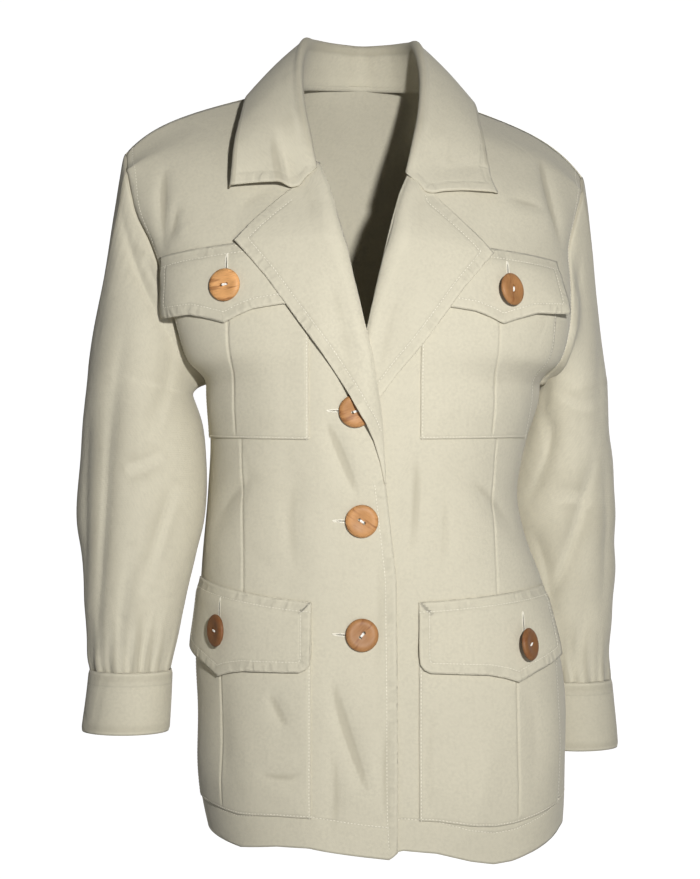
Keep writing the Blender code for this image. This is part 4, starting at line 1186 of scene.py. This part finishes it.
def build_flaps(settings):
    """Pointed flaps over the pockets, with a row of stitching inside the outline and one along the top."""
    for kind in FLAPS:
        for side, word in SIDES:
            distance, height, line, top = flap_grid(kind, side)
            outline = np.stack([line[:, 0], top - line[:, 1]], axis=1)
            around = np.vstack([[outline[0, 0], top], outline, [outline[-1, 0], top]])
            edge = outline_gap(distance, height, around)
            grid = flap_spot(kind, side, distance, height, edge, settings)
            panel = Panel(f"flap_{kind}_{word}", grid, flip=side < 0)
            panel.edges = [rim(panel.grid)]
            level = top - FLAP_STITCH
            corners = np.vstack([[outline[0, 0], level], outline, [outline[-1, 0], level]])
            sewn = dense(inset(corners, FLAP_STITCH), 1.2)
            clear = outline_gap(sewn[:, 0], sewn[:, 1], around) > FLAP_STITCH - 0.4
            sewn = sewn[clear & (sewn[:, 1] < level)]
            across = np.linspace(outline[0, 0] + 1, outline[-1, 0] - 1, 90)
            for line in (sewn, np.stack([across, np.full(90, float(level))], axis=1)):
                panel.sew(flap_line(kind, side, line[:, 0], line[:, 1], settings))
            finish_panel(panel, settings, double=True)


def lapel_shift(height, side):
    """How much higher the lapel's outline lies than the table says."""
    return LAPEL_SHIFT[side] * step(-340, -240, height)


def lapel_edge(height, column, side):
    """Distance of the roll line, column 1, or of the outer edge, column 2."""
    return table_read(LAPEL_ROWS, height - lapel_shift(height, side), column)


def lapel_spot(side, distance, height, settings, extra=0.0):
    """Points on a lapel, which is rolled at its fold and stands off the front."""
    roll, outer = lapel_edge(height, 1, side), lapel_edge(height, 2, side)
    past = distance - roll
    rise = table_read(LAPEL_RISE, height) * step(12, 42, distance)
    if side < 0:
        place, level, wide, tall, over = BUTTON_BUMP
        rise = rise + over * hump(distance - place, wide) * hump(height - level, tall)
    soft = 2.2 * hump(past - 9, 9) * step(6, 30, outer - roll)
    rolled = 1 - np.exp(-np.maximum(past, 0) / 1.6)
    lift = LAPEL_LIFT * rolled - 0.3 * (1 - rolled) + rise + soft + extra
    return front_spot(side, distance, height, lift, settings)


def build_lapels(settings):
    """The tops of the fronts, turned out at the roll line."""
    shares = np.concatenate([[0, 0.012, 0.03, 0.055], np.linspace(0.085, 1, 40)])
    for side, word in SIDES:
        heights = np.array(LAPEL_ROWS, float)[:, 0]
        heights += lapel_shift(heights, side)
        heights = np.unique(np.concatenate([heights, np.linspace(heights[0], heights[-1], 98)]))
        roll, outer = lapel_edge(heights, 1, side)[:, None], lapel_edge(heights, 2, side)[:, None]
        distance = roll - 0.6 + (outer - roll + 0.6) * shares[None, :]
        level = heights[:, None] + 0 * distance
        panel = Panel(f"lapel_{word}", lapel_spot(side, distance, level, settings), flip=side < 0)
        panel.edges = [panel.grid[:, -1]]
        lowest, highest = -378, -120
        edge = np.array([(lapel_edge(h, 2, side), h) for h in heights if lowest <= h <= highest])
        sewn = dense(inset(edge, LAPEL_STITCH), 1.2)
        inside = sewn[:, 0] > lapel_edge(sewn[:, 1], 1, side) + 2
        inside &= outline_gap(sewn[:, 0], sewn[:, 1], edge) > LAPEL_STITCH - 0.4
        sewn = sewn[inside & (sewn[:, 1] < highest)]
        panel.sew(lapel_spot(side, sewn[:, 0], sewn[:, 1], settings, 0.02))
        finish_panel(panel, settings)


def collar_station(row, side):
    """The neck seam's, roll's and outer edge's points of one row of the table."""
    points = np.array(row, float).reshape(3, 3)
    points[:, 0] = COLLAR_MIDDLE_X - side * points[:, 0]
    points[:, 1] += COLLAR_TURN * points[:, 0]
    return points


def collar_profile(seam, roll, outer, bow, notch):
    """Across the collar: up the stand, over the rounded roll and down the fall."""
    up = (roll - seam) / max(np.linalg.norm(roll - seam), 1e-6)
    away = unit(outer - roll)
    crown = roll + up * 1.5 + away * 2.5
    shares = np.array(COLLAR_SHARES)
    fall = roll + (outer - roll) * shares[:, None]
    fall[:, 2] += bow * np.sin(math.pi * shares)
    drop = np.interp(shares, *NOTCH_PLACES)
    fall += np.outer(drop, NOTCH_DROP) * notch
    inside = np.array([COLLAR_MIDDLE_X, 0, seam[2]]) - seam
    tucked = seam + unit(inside) * 2.4 - up * 7
    stand = [tucked, seam + up * 2, seam + (roll - seam) * 0.55, roll - away * 0.5 - up * 1.2]
    line = np.vstack([*stand, crown, fall[1:]])
    knots = lengths_along(line)
    return smooth(knots, line, spaced((0, knots[3], knots[5], knots[-1]), (11, 9, 34)))


def body_tree():
    """The fronts and the back as one finely divided surface, to lay the collar on."""
    points, faces = [], []
    for cloth, turn in ((FRONT, 1), (BACK, -1)):
        heights, shares = np.linspace(-300, TOP, 60), np.linspace(0, 1, 80)
        start = len(points)
        points.extend(cloth.part(shares[None, :], heights[:, None]).reshape(-1, 3))
        for row in range(len(heights) - 1):
            for index in range(len(shares) - 1):
                a = start + row * len(shares) + index
                faces.append([a, a + 1, a + 1 + len(shares), a + len(shares)][::turn])
    return BVHTree.FromPolygons([Vector(point) for point in points], faces)


def build_collar(settings):
    """The collar's stand and fall as one piece, laid on the fronts, lapels and back."""
    left = [collar_station(row, 1) - (0, 0.5 * sag, sag) for row, sag in zip(COLLAR_STATIONS, COLLAR_SAG)]
    right = [collar_station(row, -1) for row in COLLAR_STATIONS]
    middle = np.array(COLLAR_CENTRE, float).reshape(3, 3)
    stations = np.array(left + [middle] + right[::-1])
    numbers, final = range(len(stations)), len(stations) - 1
    steps = spaced((0, 0.5, final - 0.5, final), (9, 150, 9))
    bows = smooth(numbers, COLLAR_BOWS + COLLAR_BOWS[-2::-1], steps)
    ends = np.minimum(steps, final - steps)
    notches = np.clip(1 - ends, 0, 1) ** 1.5
    tree = body_tree()
    rows = zip(smooth(numbers, stations, steps), bows, notches)
    grid = np.array([collar_profile(*station, bow, notch) for station, bow, notch in rows])
    for row, end in zip(grid, ends):
        for index in range(2, len(row)):
            spot, normal, _, _ = tree.find_nearest(Vector(row[index]))
            height = (Vector(row[index]) - spot).dot(normal)
            wanted = height
            if index >= FALL_START:
                lowest = COLLAR_LIFT + (0.8 if index < len(row) - 2 else 0)
                wanted = lowest if height < lowest or index == len(row) - 1 else height
            sewn_down = (1 - step(0.0, 1.7, end)) * (1 - step(26, 31, index))
            wanted += (GORGE_LIFT * min(1, index / 13) - wanted) * sewn_down
            row[index] += np.array(normal) * (wanted - height)
    normal = unit(np.cross(np.gradient(grid, axis=1), np.gradient(grid, axis=0))) * -1
    free = step(20, 28, np.arange(grid.shape[1]))[None, :]
    grid = grid + normal * (drape(grid, 5, 90, 0.35 * settings.ripple / MM) * free)[..., None]
    panel = Panel("collar", grid, flip=True)
    last_row = panel.grid[-1, FALL_START:]
    panel.edges = [np.vstack([panel.grid[0, FALL_START:], panel.grid[:, -1], last_row[::-1]])]
    count = panel.grid.shape[0]
    panel.sew_column(COLLAR_STITCH, last=True, start=9, end=count - 9)
    panel.sew_column(STAND_STITCH, start=24, end=count - 24)
    for last in (False, True):
        panel.sew_row(COLLAR_STITCH, last=last, start=0.33, end=0.94)
    finish_panel(panel, settings, double=True)


def ring(middle_x, middle_y, middle_z, half_width, half_depth, lean, side):
    """A sleeve ring, starting on the outside and turning by the front."""
    turn = np.linspace(0, 2 * math.pi, AROUND, endpoint=False)
    x = middle_x + side * half_width * np.cos(turn)
    y = middle_y - half_depth * np.sin(turn)
    z = middle_z + lean * np.cos(turn)
    return np.stack([x, y, z], axis=1)


def armhole(side):
    """The armhole's loop from the shoulder tip down the front, under the arm and up the back."""
    heights = np.linspace(TOP, ARMPIT_HEIGHT, 120)
    end = 0.0 if side < 0 else 1.0
    front = FRONT.part(np.full(120, end), heights)
    back = BACK.part(np.full(118, end), heights[1:-1])[::-1]
    return even(np.vstack([front, back, front[:1]]), AROUND + 1)[:-1]


def gathers(turn):
    """Uneven gathers around the sleeve above its cuff."""
    main = np.cos(turn * SLEEVE_GATHERS + 2.2 * np.sin(turn * 3))
    return main + 0.5 * np.cos(turn * (SLEEVE_GATHERS + 9) + 1) - 1.5


def build_sleeves(settings):
    """Sleeves from the armhole over an eased cap, and down to gathers at the cuff."""
    for side, word in SIDES:
        table = np.array(SLEEVES[word], float)
        start = armhole(side) + np.array([side * 0.2, 0, 0])
        first = ring(*table[0], side)
        span = np.linalg.norm(first - start, axis=1)[:, None]
        turn = np.linspace(0, 2 * math.pi, AROUND, endpoint=False)
        upper = (0.5 + 0.5 * np.cos(turn))[:, None]
        leave = span * (upper * (side * 0.14, 0, -0.95) + (1 - upper) * (side * 0.9, 0, -0.1))
        arrive = span * (upper * (side * 0.16, 0, -1.0) + (1 - upper) * (0, 0, -1.0))
        cap = [hermite(t, start, first, leave, arrive) for t in np.linspace(0, 1, 45)[:-1] ** 1.15]
        steps = np.linspace(0, len(table) - 1, 112)
        arm = [ring(*values, side) for values in smooth(range(len(table)), table, steps)]
        rings = np.array(cap + arm)
        outwards = unit(rings - rings.mean(axis=1, keepdims=True))
        inside = np.arange(len(rings)) / 8
        settle = step(0, 1.2, inside)[:, None]
        lift = fold_lift(rings, outwards, SLEEVE_FOLDS[word], settings.fold_strength)
        lift = lift + drape(rings, 3 + side, 80, settings.ripple / MM)
        to_cuff = np.clip(1 - (rings[..., 2] - table[-1, 2]) / 62, 0, 1) ** 1.4
        lift = lift + 1.2 * to_cuff * gathers(turn)
        eased = hump(inside, 2.6)[:, None] * np.clip(upper[:, 0] * 1.3 - 0.35, 0, 1)[None, :]
        ease = 0.9 * step(0, 0.5, inside)[:, None] + 0.35 * np.cos(turn * 38)[None, :] * settle
        lift = lift * settle + eased * ease - SEAM_DIP * hump(inside, 0.22)[:, None]
        rings = rings + outwards * lift[..., None]
        tucked = [rings[0] - outwards[0] * deep - (side * back, 0, 0) for deep, back in SLEEVE_TUCK]
        panel = Panel(f"sleeve_{word}", np.concatenate([tucked, rings]), closed=True, flip=side > 0)
        panel.edges = [panel.grid[2]]
        finish_panel(panel, settings)


def build_cuffs(settings):
    """Each cuff lies just outside the sleeve's end."""
    for side, word in SIDES:
        table = np.array(CUFFS[word], float) + (0, 0, 0, 0.6)
        steps = np.linspace(0, 2, 34)
        spots = smooth(range(3), table, steps)
        rings = np.array([ring(x, y, z, radius, radius, 0, side) for x, y, z, radius in spots])
        outwards = unit(rings - rings.mean(axis=1, keepdims=True))
        lift = drape(rings, 21 + side, 55, 0.6 * settings.ripple / MM)
        ends = np.minimum(steps, 2 - steps)[:, None]
        lift = lift - SEAM_DIP * hump(ends, 0.07)
        panel = Panel(f"cuff_{word}", rings + outwards * lift[..., None], closed=True, flip=side > 0)
        panel.edges = [panel.grid[0], panel.grid[-1]]
        panel.sew_row(CUFF_STITCH)
        finish_panel(panel, settings, double=True)


def layer_spot(layer, side, distance, height, settings):
    """Points on the front or on a flap, which buttons and buttonholes lie on."""
    if layer == "front":
        return front_spot(side, distance, height, 0.0, settings)
    return flap_line(layer, side, distance, height, settings, extra=0.0)


def bed_of(distance, height, layer, settings):
    """Points of the layer around a button, the button's middle last."""
    angles = np.linspace(0, 2 * math.pi, 12, endpoint=False)
    along = np.append(abs(distance) + BUTTON_RADIUS * np.cos(angles), abs(distance))
    level = np.append(height + BUTTON_RADIUS * np.sin(angles), height)
    return layer_spot(layer, -1 if distance < 0 else 1, along, level, settings)


def stand_on(bed, lift):
    """A place and turn that stand on the bed, facing out of it."""
    _, _, axes = np.linalg.svd(bed - bed.mean(axis=0))
    normal = axes[2] if axes[2][1] < 0 else -axes[2]
    foot = bed[-1] + normal * (max((bed - bed[-1]) @ normal) + lift)
    return foot, normal


def button_mesh():
    """A turned button: flat back, round rim and a shallow dish with two holes through it."""
    shape = bmesh.new()
    scale = BUTTON_RADIUS / PROFILE_RADIUS
    points = [shape.verts.new((x * scale * MM, 0, z * MM)) for x, z in BUTTON_PROFILE]
    for start, end in zip(points, points[1:]):
        shape.edges.new((start, end))
    mesh = bpy.data.meshes.new("button_profile")
    shape.to_mesh(mesh)
    shape.free()
    turned = new_object("button_profile", mesh)
    screw = turned.modifiers.new("turn", "SCREW")
    screw.steps = screw.render_steps = 96
    screw.use_merge_vertices = True
    screw.merge_threshold = 0.00001
    drills = []
    for side in (-1, 1):
        place = (side * BUTTON_HOLE_X * MM, 0, 0)
        radius = BUTTON_HOLE_RADIUS * MM
        bpy.ops.mesh.primitive_cylinder_add(vertices=24, radius=radius, depth=20 * MM, location=place)
        drills.append(bpy.context.object)
        hole = turned.modifiers.new("hole", "BOOLEAN")
        hole.operation = "DIFFERENCE"
        hole.object = drills[-1]
    made = evaluated_mesh(turned)
    for extra in (turned, *drills):
        bpy.data.objects.remove(extra)
    return made


def strand_line(strand, away):
    """One strand of thread over the dish, which goes down at each hole."""
    return [
        Vector((2.6 * t, away * (1 - 0.3 * abs(t)), 3.45 + 0.35 * strand % 0.5 - 8.8 * max(0, abs(t) - 0.72)))
        for t in np.linspace(-1, 1, 13)
    ]


def thread_mesh():
    """Four strands of thread from hole to hole over the dish, and the shank under the button."""
    shape = bmesh.new()
    angles = np.linspace(0, 2 * math.pi, 8, endpoint=False)
    around = [Vector((0, math.cos(angle), math.sin(angle))) * 0.34 for angle in angles]
    for strand, away in enumerate((-0.75, -0.25, 0.25, 0.75)):
        line = strand_line(strand, away)
        rings = [[shape.verts.new((point + out) * MM) for out in around] for point in line]
        for low, high in zip(rings, rings[1:]):
            for index in range(8):
                after = (index + 1) % 8
                shape.faces.new([low[index], low[after], high[after], high[index]])
        shape.faces.new(rings[0][::-1])
        shape.faces.new(rings[-1])
    shank = {"radius1": 2.6 * MM, "radius2": 2.2 * MM, "depth": 1.6 * MM}
    place = Matrix.Translation((0, 0, -0.5 * MM))
    bmesh.ops.create_cone(shape, cap_ends=True, segments=16, matrix=place, **shank)
    bmesh.ops.recalc_face_normals(shape, faces=shape.faces)
    mesh = bpy.data.meshes.new("button_strands")
    shape.to_mesh(mesh)
    shape.free()
    return mesh


def build_buttons(settings):
    """Seven buttons, each with its own grain and turn, and the thread that holds it."""
    made, strands = button_mesh(), thread_mesh()
    for number, (name, distance, height, layer, turn) in enumerate(BUTTONS):
        foot, normal = stand_on(bed_of(distance, height, layer, settings), BUTTON_LIFT[layer])
        mesh = made.copy()
        # The button's lightness, partly wood tone and partly painted shade
        tone_and_shade_values = np.full(len(mesh.vertices), BUTTON_TONE_AND_SHADE[name], np.float32)
        mesh.attributes.new("tone", "FLOAT", "POINT").data.foreach_set("value", tone_and_shade_values)
        grain = mesh.uv_layers.new(name="grain")
        for loop in mesh.loops:
            x, y, z = mesh.vertices[loop.vertex_index].co
            grain.data[loop.index].uv = (x + z * 0.6 + 0.05 * number, y + z * 0.4 + 0.031 * number)
        piece = put(name + "_wood", mesh, material("turned_wood", settings), [name])
        mesh.set_sharp_from_angle(angle=math.radians(50))
        tilt, off = BUTTON_TILTS.get(name, (0, 0))
        foot = foot + normal * off
        normal = Matrix.Rotation(math.radians(tilt), 3, "Z") @ Vector(normal)
        stand = normal.to_track_quat("Z", "Y").to_matrix().to_4x4()
        matrix = Matrix.Translation(Vector(foot) * MM) @ stand @ Matrix.Rotation(math.radians(turn), 4, "Z")
        piece.data.transform(matrix)
        thread = put(name + "_thread", strands.copy(), material("button_thread", settings), [])
        thread.data.transform(matrix)


def build_buttonholes(settings):
    """Close stitches around a dark slit, beside or above each button."""
    for name, distance, height, layer, half, turn in BUTTONHOLES:
        side = -1 if distance < 0 else 1
        angle = math.radians(turn)
        across = np.array([math.cos(angle) * side, math.sin(angle)])
        up = np.array([-math.sin(angle) * side, math.cos(angle)])

        def spots(along, away):
            flat = np.array([abs(distance), height]) + np.outer(along, across) + np.outer(away, up)
            return layer_spot(layer, side, flat[:, 0], flat[:, 1], settings)

        shares = np.linspace(-1, 1, 30)
        wide = 0.9 * (1 - shares**4) + 0.15
        oval = spots(np.append(half * shares, half * shares[::-1]), np.append(wide, -wide[::-1]))
        line = np.vstack([oval, oval[:1]])
        normal = stand_on(oval, 0)[1]
        lines = [(line, np.tile(normal, (len(line), 1)))]
        sewn = name + "_hole_stitching"
        stitching(sewn, lines, settings, BUTTONHOLE_STITCH, turn=math.pi / 2, rise=0.2)
        narrow = 0.36 * (1 - shares**2)
        grid = np.array([spots(0.86 * half * shares, share * narrow) for share in (-1, 0, 1)])
        mesh = make_mesh(name + "_hole_slit", grid + normal * 0.16, False, False)
        put(name + "_hole_slit", mesh, material("slit_shadow", settings), [])


def add_camera():
    """The camera at the photo's height and distance, looking straight at the front."""
    data = bpy.data.cameras.new("camera")
    data.lens = LENS
    data.sensor_fit = "VERTICAL"
    data.sensor_width = data.sensor_height = SENSOR
    camera = new_object("camera", data)
    camera.location = CAMERA_PLACE
    camera.rotation_euler = (math.pi / 2, 0, 0)
    bpy.context.scene.camera = camera


def grey(level):
    return (level, level, level, 1)


def add_surroundings(settings):
    """White light from all around, a pale floor and a white backdrop that lights itself."""
    world = bpy.data.worlds.new("studio")
    world.use_nodes = True
    background = world.node_tree.nodes["Background"]
    background.inputs["Color"].default_value = (1.0, 1.0, 1.0, 1)
    background.inputs["Strength"].default_value = settings.sky
    bpy.context.scene.world = world
    bpy.context.scene.view_settings.view_transform = "Standard"
    paper = Shade("paper", {"Roughness": 0.95})
    paper.use("Base Color", paper.mix(paper.noise(paper.place(), 3.0), grey(0.93), grey(0.95)))
    white = Shade("backdrop", {"Roughness": 1.0, "Emission Strength": 1.0})
    clouds = white.noise(white.place(), 0.6)
    white.use("Emission Color", white.mix(clouds, grey(1.0), grey(0.99)))
    white.use("Base Color", white.mix(clouds, grey(0.2), grey(0.22)))
    upright = (math.pi / 2, 0, 0)
    planes = (("floor", FLOOR_PLACE, (0, 0, 0), paper), ("backdrop", BACKDROP_PLACE, upright, white))
    for name, place, turn, look in planes:
        bpy.ops.mesh.primitive_plane_add(size=PLANE_SIZE, location=place, rotation=turn)
        plane = bpy.context.object
        plane.name = name
        plane.data.materials.append(look.material)


def add_lights(settings):
    """A small main light beside the camera, and a wide soft one lower down."""
    lamps = (
        ("key", KEY_PLACE, 0.08, settings.key, 95),
        ("fill", FILL_PLACE, 1.2, settings.key * 0.5, 180),
    )
    for name, place, size, power, spread in lamps:
        lamp = bpy.data.lights.new(name, "AREA")
        lamp.energy, lamp.size, lamp.spread = power, size, math.radians(spread)
        light = new_object(name, lamp)
        light.location = place
        aim = Vector(LIT_SPOT) - Vector(place)
        light.rotation_euler = aim.to_track_quat("-Z", "Y").to_euler()


def build_stage(settings):
    """The camera first, then all that surrounds and lights the jacket."""
    add_camera()
    add_surroundings(settings)
    add_lights(settings)


class JacketSettings(bpy.types.PropertyGroup):
    """Sizes, colours and lights that a user would change"""

    wall: FloatProperty(
        name="Cloth thickness", description="Thickness of one layer of twill",
        default=0.0011, min=0.0005, max=0.003, unit="LENGTH",
    )
    weave: FloatProperty(
        name="Weave", description="Width of one diagonal rib of the twill",
        default=0.0012, min=0.0004, max=0.004, unit="LENGTH",
    )
    ripple: FloatProperty(
        name="Ripple", description="Height of the cloth's soft uneven waves",
        default=0.0010, min=0, max=0.003, unit="LENGTH",
    )
    fold_strength: FloatProperty(
        name="Folds", description="Depth of the folds, as a multiple of the tables'",
        default=2.3, min=0, max=4,
    )
    stitch_pitch: FloatProperty(
        name="Stitch pitch", description="From one stitch to the next",
        default=0.0031, min=0.0005, max=0.01, unit="LENGTH",
    )
    stitch_length: FloatProperty(
        name="Stitch length", description="Length of one topstitch",
        default=0.0021, min=0.0004, max=0.01, unit="LENGTH",
    )
    stitch_width: FloatProperty(
        name="Thread width", description="Width of the topstitch thread",
        default=0.0006, min=0.0001, max=0.002, unit="LENGTH",
    )
    cloth_colour: FloatVectorProperty(
        name="Cloth", description="Light khaki of the twill",
        default=(0.585, 0.545, 0.425), subtype="COLOR", size=3, min=0, max=1,
    )
    thread_colour: FloatVectorProperty(
        name="Thread", description="Topstitch thread",
        default=(0.84, 0.80, 0.68), subtype="COLOR", size=3, min=0, max=1,
    )
    button_thread_colour: FloatVectorProperty(
        name="Button thread", description="Thread in the buttons",
        default=(0.86, 0.84, 0.78), subtype="COLOR", size=3, min=0, max=1,
    )
    wood_colour: FloatVectorProperty(
        name="Wood", description="Light wood of the buttons",
        default=(0.65, 0.335, 0.13), subtype="COLOR", size=3, min=0, max=1,
    )
    grain_colour: FloatVectorProperty(
        name="Grain", description="Dark grain of the buttons",
        default=(0.19, 0.065, 0.02), subtype="COLOR", size=3, min=0, max=1,
    )
    sky: FloatProperty(
        name="Surroundings", description="Brightness of the white surroundings",
        default=0.06, min=0, max=5,
    )
    key: FloatProperty(
        name="Main light", description="Power of the main light",
        default=11.0, min=0, max=500, unit="POWER",
    )


class JACKET_OT_stage(bpy.types.Operator):
    """Camera, pale floor, surroundings and soft lights"""

    bl_idname = "jacket.stage"
    bl_label = "Build stage"
    bl_options = {"REGISTER", "UNDO"}

    def execute(self, context):
        build_stage(context.scene.jacket)
        return {"FINISHED"}


class JACKET_OT_back(bpy.types.Operator):
    """The back panel with its hem and armhole stitching"""

    bl_idname = "jacket.back"
    bl_label = "Build back"
    bl_options = {"REGISTER", "UNDO"}

    def execute(self, context):
        build_back(context.scene.jacket)
        return {"FINISHED"}


class JACKET_OT_fronts(bpy.types.Operator):
    """Both front panels with darts, hem and edge stitching"""

    bl_idname = "jacket.fronts"
    bl_label = "Build fronts"
    bl_options = {"REGISTER", "UNDO"}

    def execute(self, context):
        build_fronts(context.scene.jacket)
        return {"FINISHED"}


class JACKET_OT_pockets(bpy.types.Operator):
    """Four patch pockets with a pleat"""

    bl_idname = "jacket.pockets"
    bl_label = "Build pockets"
    bl_options = {"REGISTER", "UNDO"}

    def execute(self, context):
        build_pockets(context.scene.jacket)
        return {"FINISHED"}


class JACKET_OT_flaps(bpy.types.Operator):
    """Four pointed pocket flaps with topstitching"""

    bl_idname = "jacket.flaps"
    bl_label = "Build flaps"
    bl_options = {"REGISTER", "UNDO"}

    def execute(self, context):
        build_flaps(context.scene.jacket)
        return {"FINISHED"}


class JACKET_OT_lapels(bpy.types.Operator):
    """Both lapels, folded back from the roll line"""

    bl_idname = "jacket.lapels"
    bl_label = "Build lapels"
    bl_options = {"REGISTER", "UNDO"}

    def execute(self, context):
        build_lapels(context.scene.jacket)
        return {"FINISHED"}


class JACKET_OT_collar(bpy.types.Operator):
    """The collar's stand and fall"""

    bl_idname = "jacket.collar"
    bl_label = "Build collar"
    bl_options = {"REGISTER", "UNDO"}

    def execute(self, context):
        build_collar(context.scene.jacket)
        return {"FINISHED"}


class JACKET_OT_sleeves(bpy.types.Operator):
    """Both set-in sleeves with their folds and gathers"""

    bl_idname = "jacket.sleeves"
    bl_label = "Build sleeves"
    bl_options = {"REGISTER", "UNDO"}

    def execute(self, context):
        build_sleeves(context.scene.jacket)
        return {"FINISHED"}


class JACKET_OT_cuffs(bpy.types.Operator):
    """Both closed cuffs"""

    bl_idname = "jacket.cuffs"
    bl_label = "Build cuffs"
    bl_options = {"REGISTER", "UNDO"}

    def execute(self, context):
        build_cuffs(context.scene.jacket)
        return {"FINISHED"}


class JACKET_OT_buttons(bpy.types.Operator):
    """Seven turned wooden buttons and their thread"""

    bl_idname = "jacket.buttons"
    bl_label = "Build buttons"
    bl_options = {"REGISTER", "UNDO"}

    def execute(self, context):
        build_buttons(context.scene.jacket)
        return {"FINISHED"}


class JACKET_OT_buttonholes(bpy.types.Operator):
    """Seven stitched buttonholes"""

    bl_idname = "jacket.buttonholes"
    bl_label = "Build buttonholes"
    bl_options = {"REGISTER", "UNDO"}

    def execute(self, context):
        build_buttonholes(context.scene.jacket)
        return {"FINISHED"}


OPERATORS = (
    JACKET_OT_stage, JACKET_OT_back, JACKET_OT_fronts, JACKET_OT_pockets,
    JACKET_OT_flaps, JACKET_OT_lapels, JACKET_OT_collar, JACKET_OT_sleeves,
    JACKET_OT_cuffs, JACKET_OT_buttons, JACKET_OT_buttonholes,
)


class JACKET_PT_looks(bpy.types.Panel):
    """Sizes, colours and the buttons that build the jacket"""

    bl_idname = "JACKET_PT_looks"
    bl_label = "Jacket"
    bl_space_type = "VIEW_3D"
    bl_region_type = "UI"
    bl_category = "Jacket"

    def draw(self, context):
        for name in JacketSettings.__annotations__:
            self.layout.prop(context.scene.jacket, name)
        for item in OPERATORS:
            self.layout.operator(item.bl_idname)


def register():
    """Adds the settings, the operators and the panel."""
    for item in (JacketSettings, *OPERATORS, JACKET_PT_looks):
        bpy.utils.register_class(item)
    bpy.types.Scene.jacket = PointerProperty(type=JacketSettings)


def unregister():
    """Removes them again."""
    del bpy.types.Scene.jacket
    for item in (JACKET_PT_looks, *reversed(OPERATORS), JacketSettings):
        bpy.utils.unregister_class(item)


def corners(size):
    """The box's corners as plain lists."""
    return [[round(value, 5) for value in corner] for corner in size]


def main():
    """Builds the stage and every piece."""
    register()
    for item in OPERATORS:
        getattr(bpy.ops.jacket, item.bl_idname.split(".")[1])()
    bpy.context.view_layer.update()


if __name__ == "__main__":
    main()
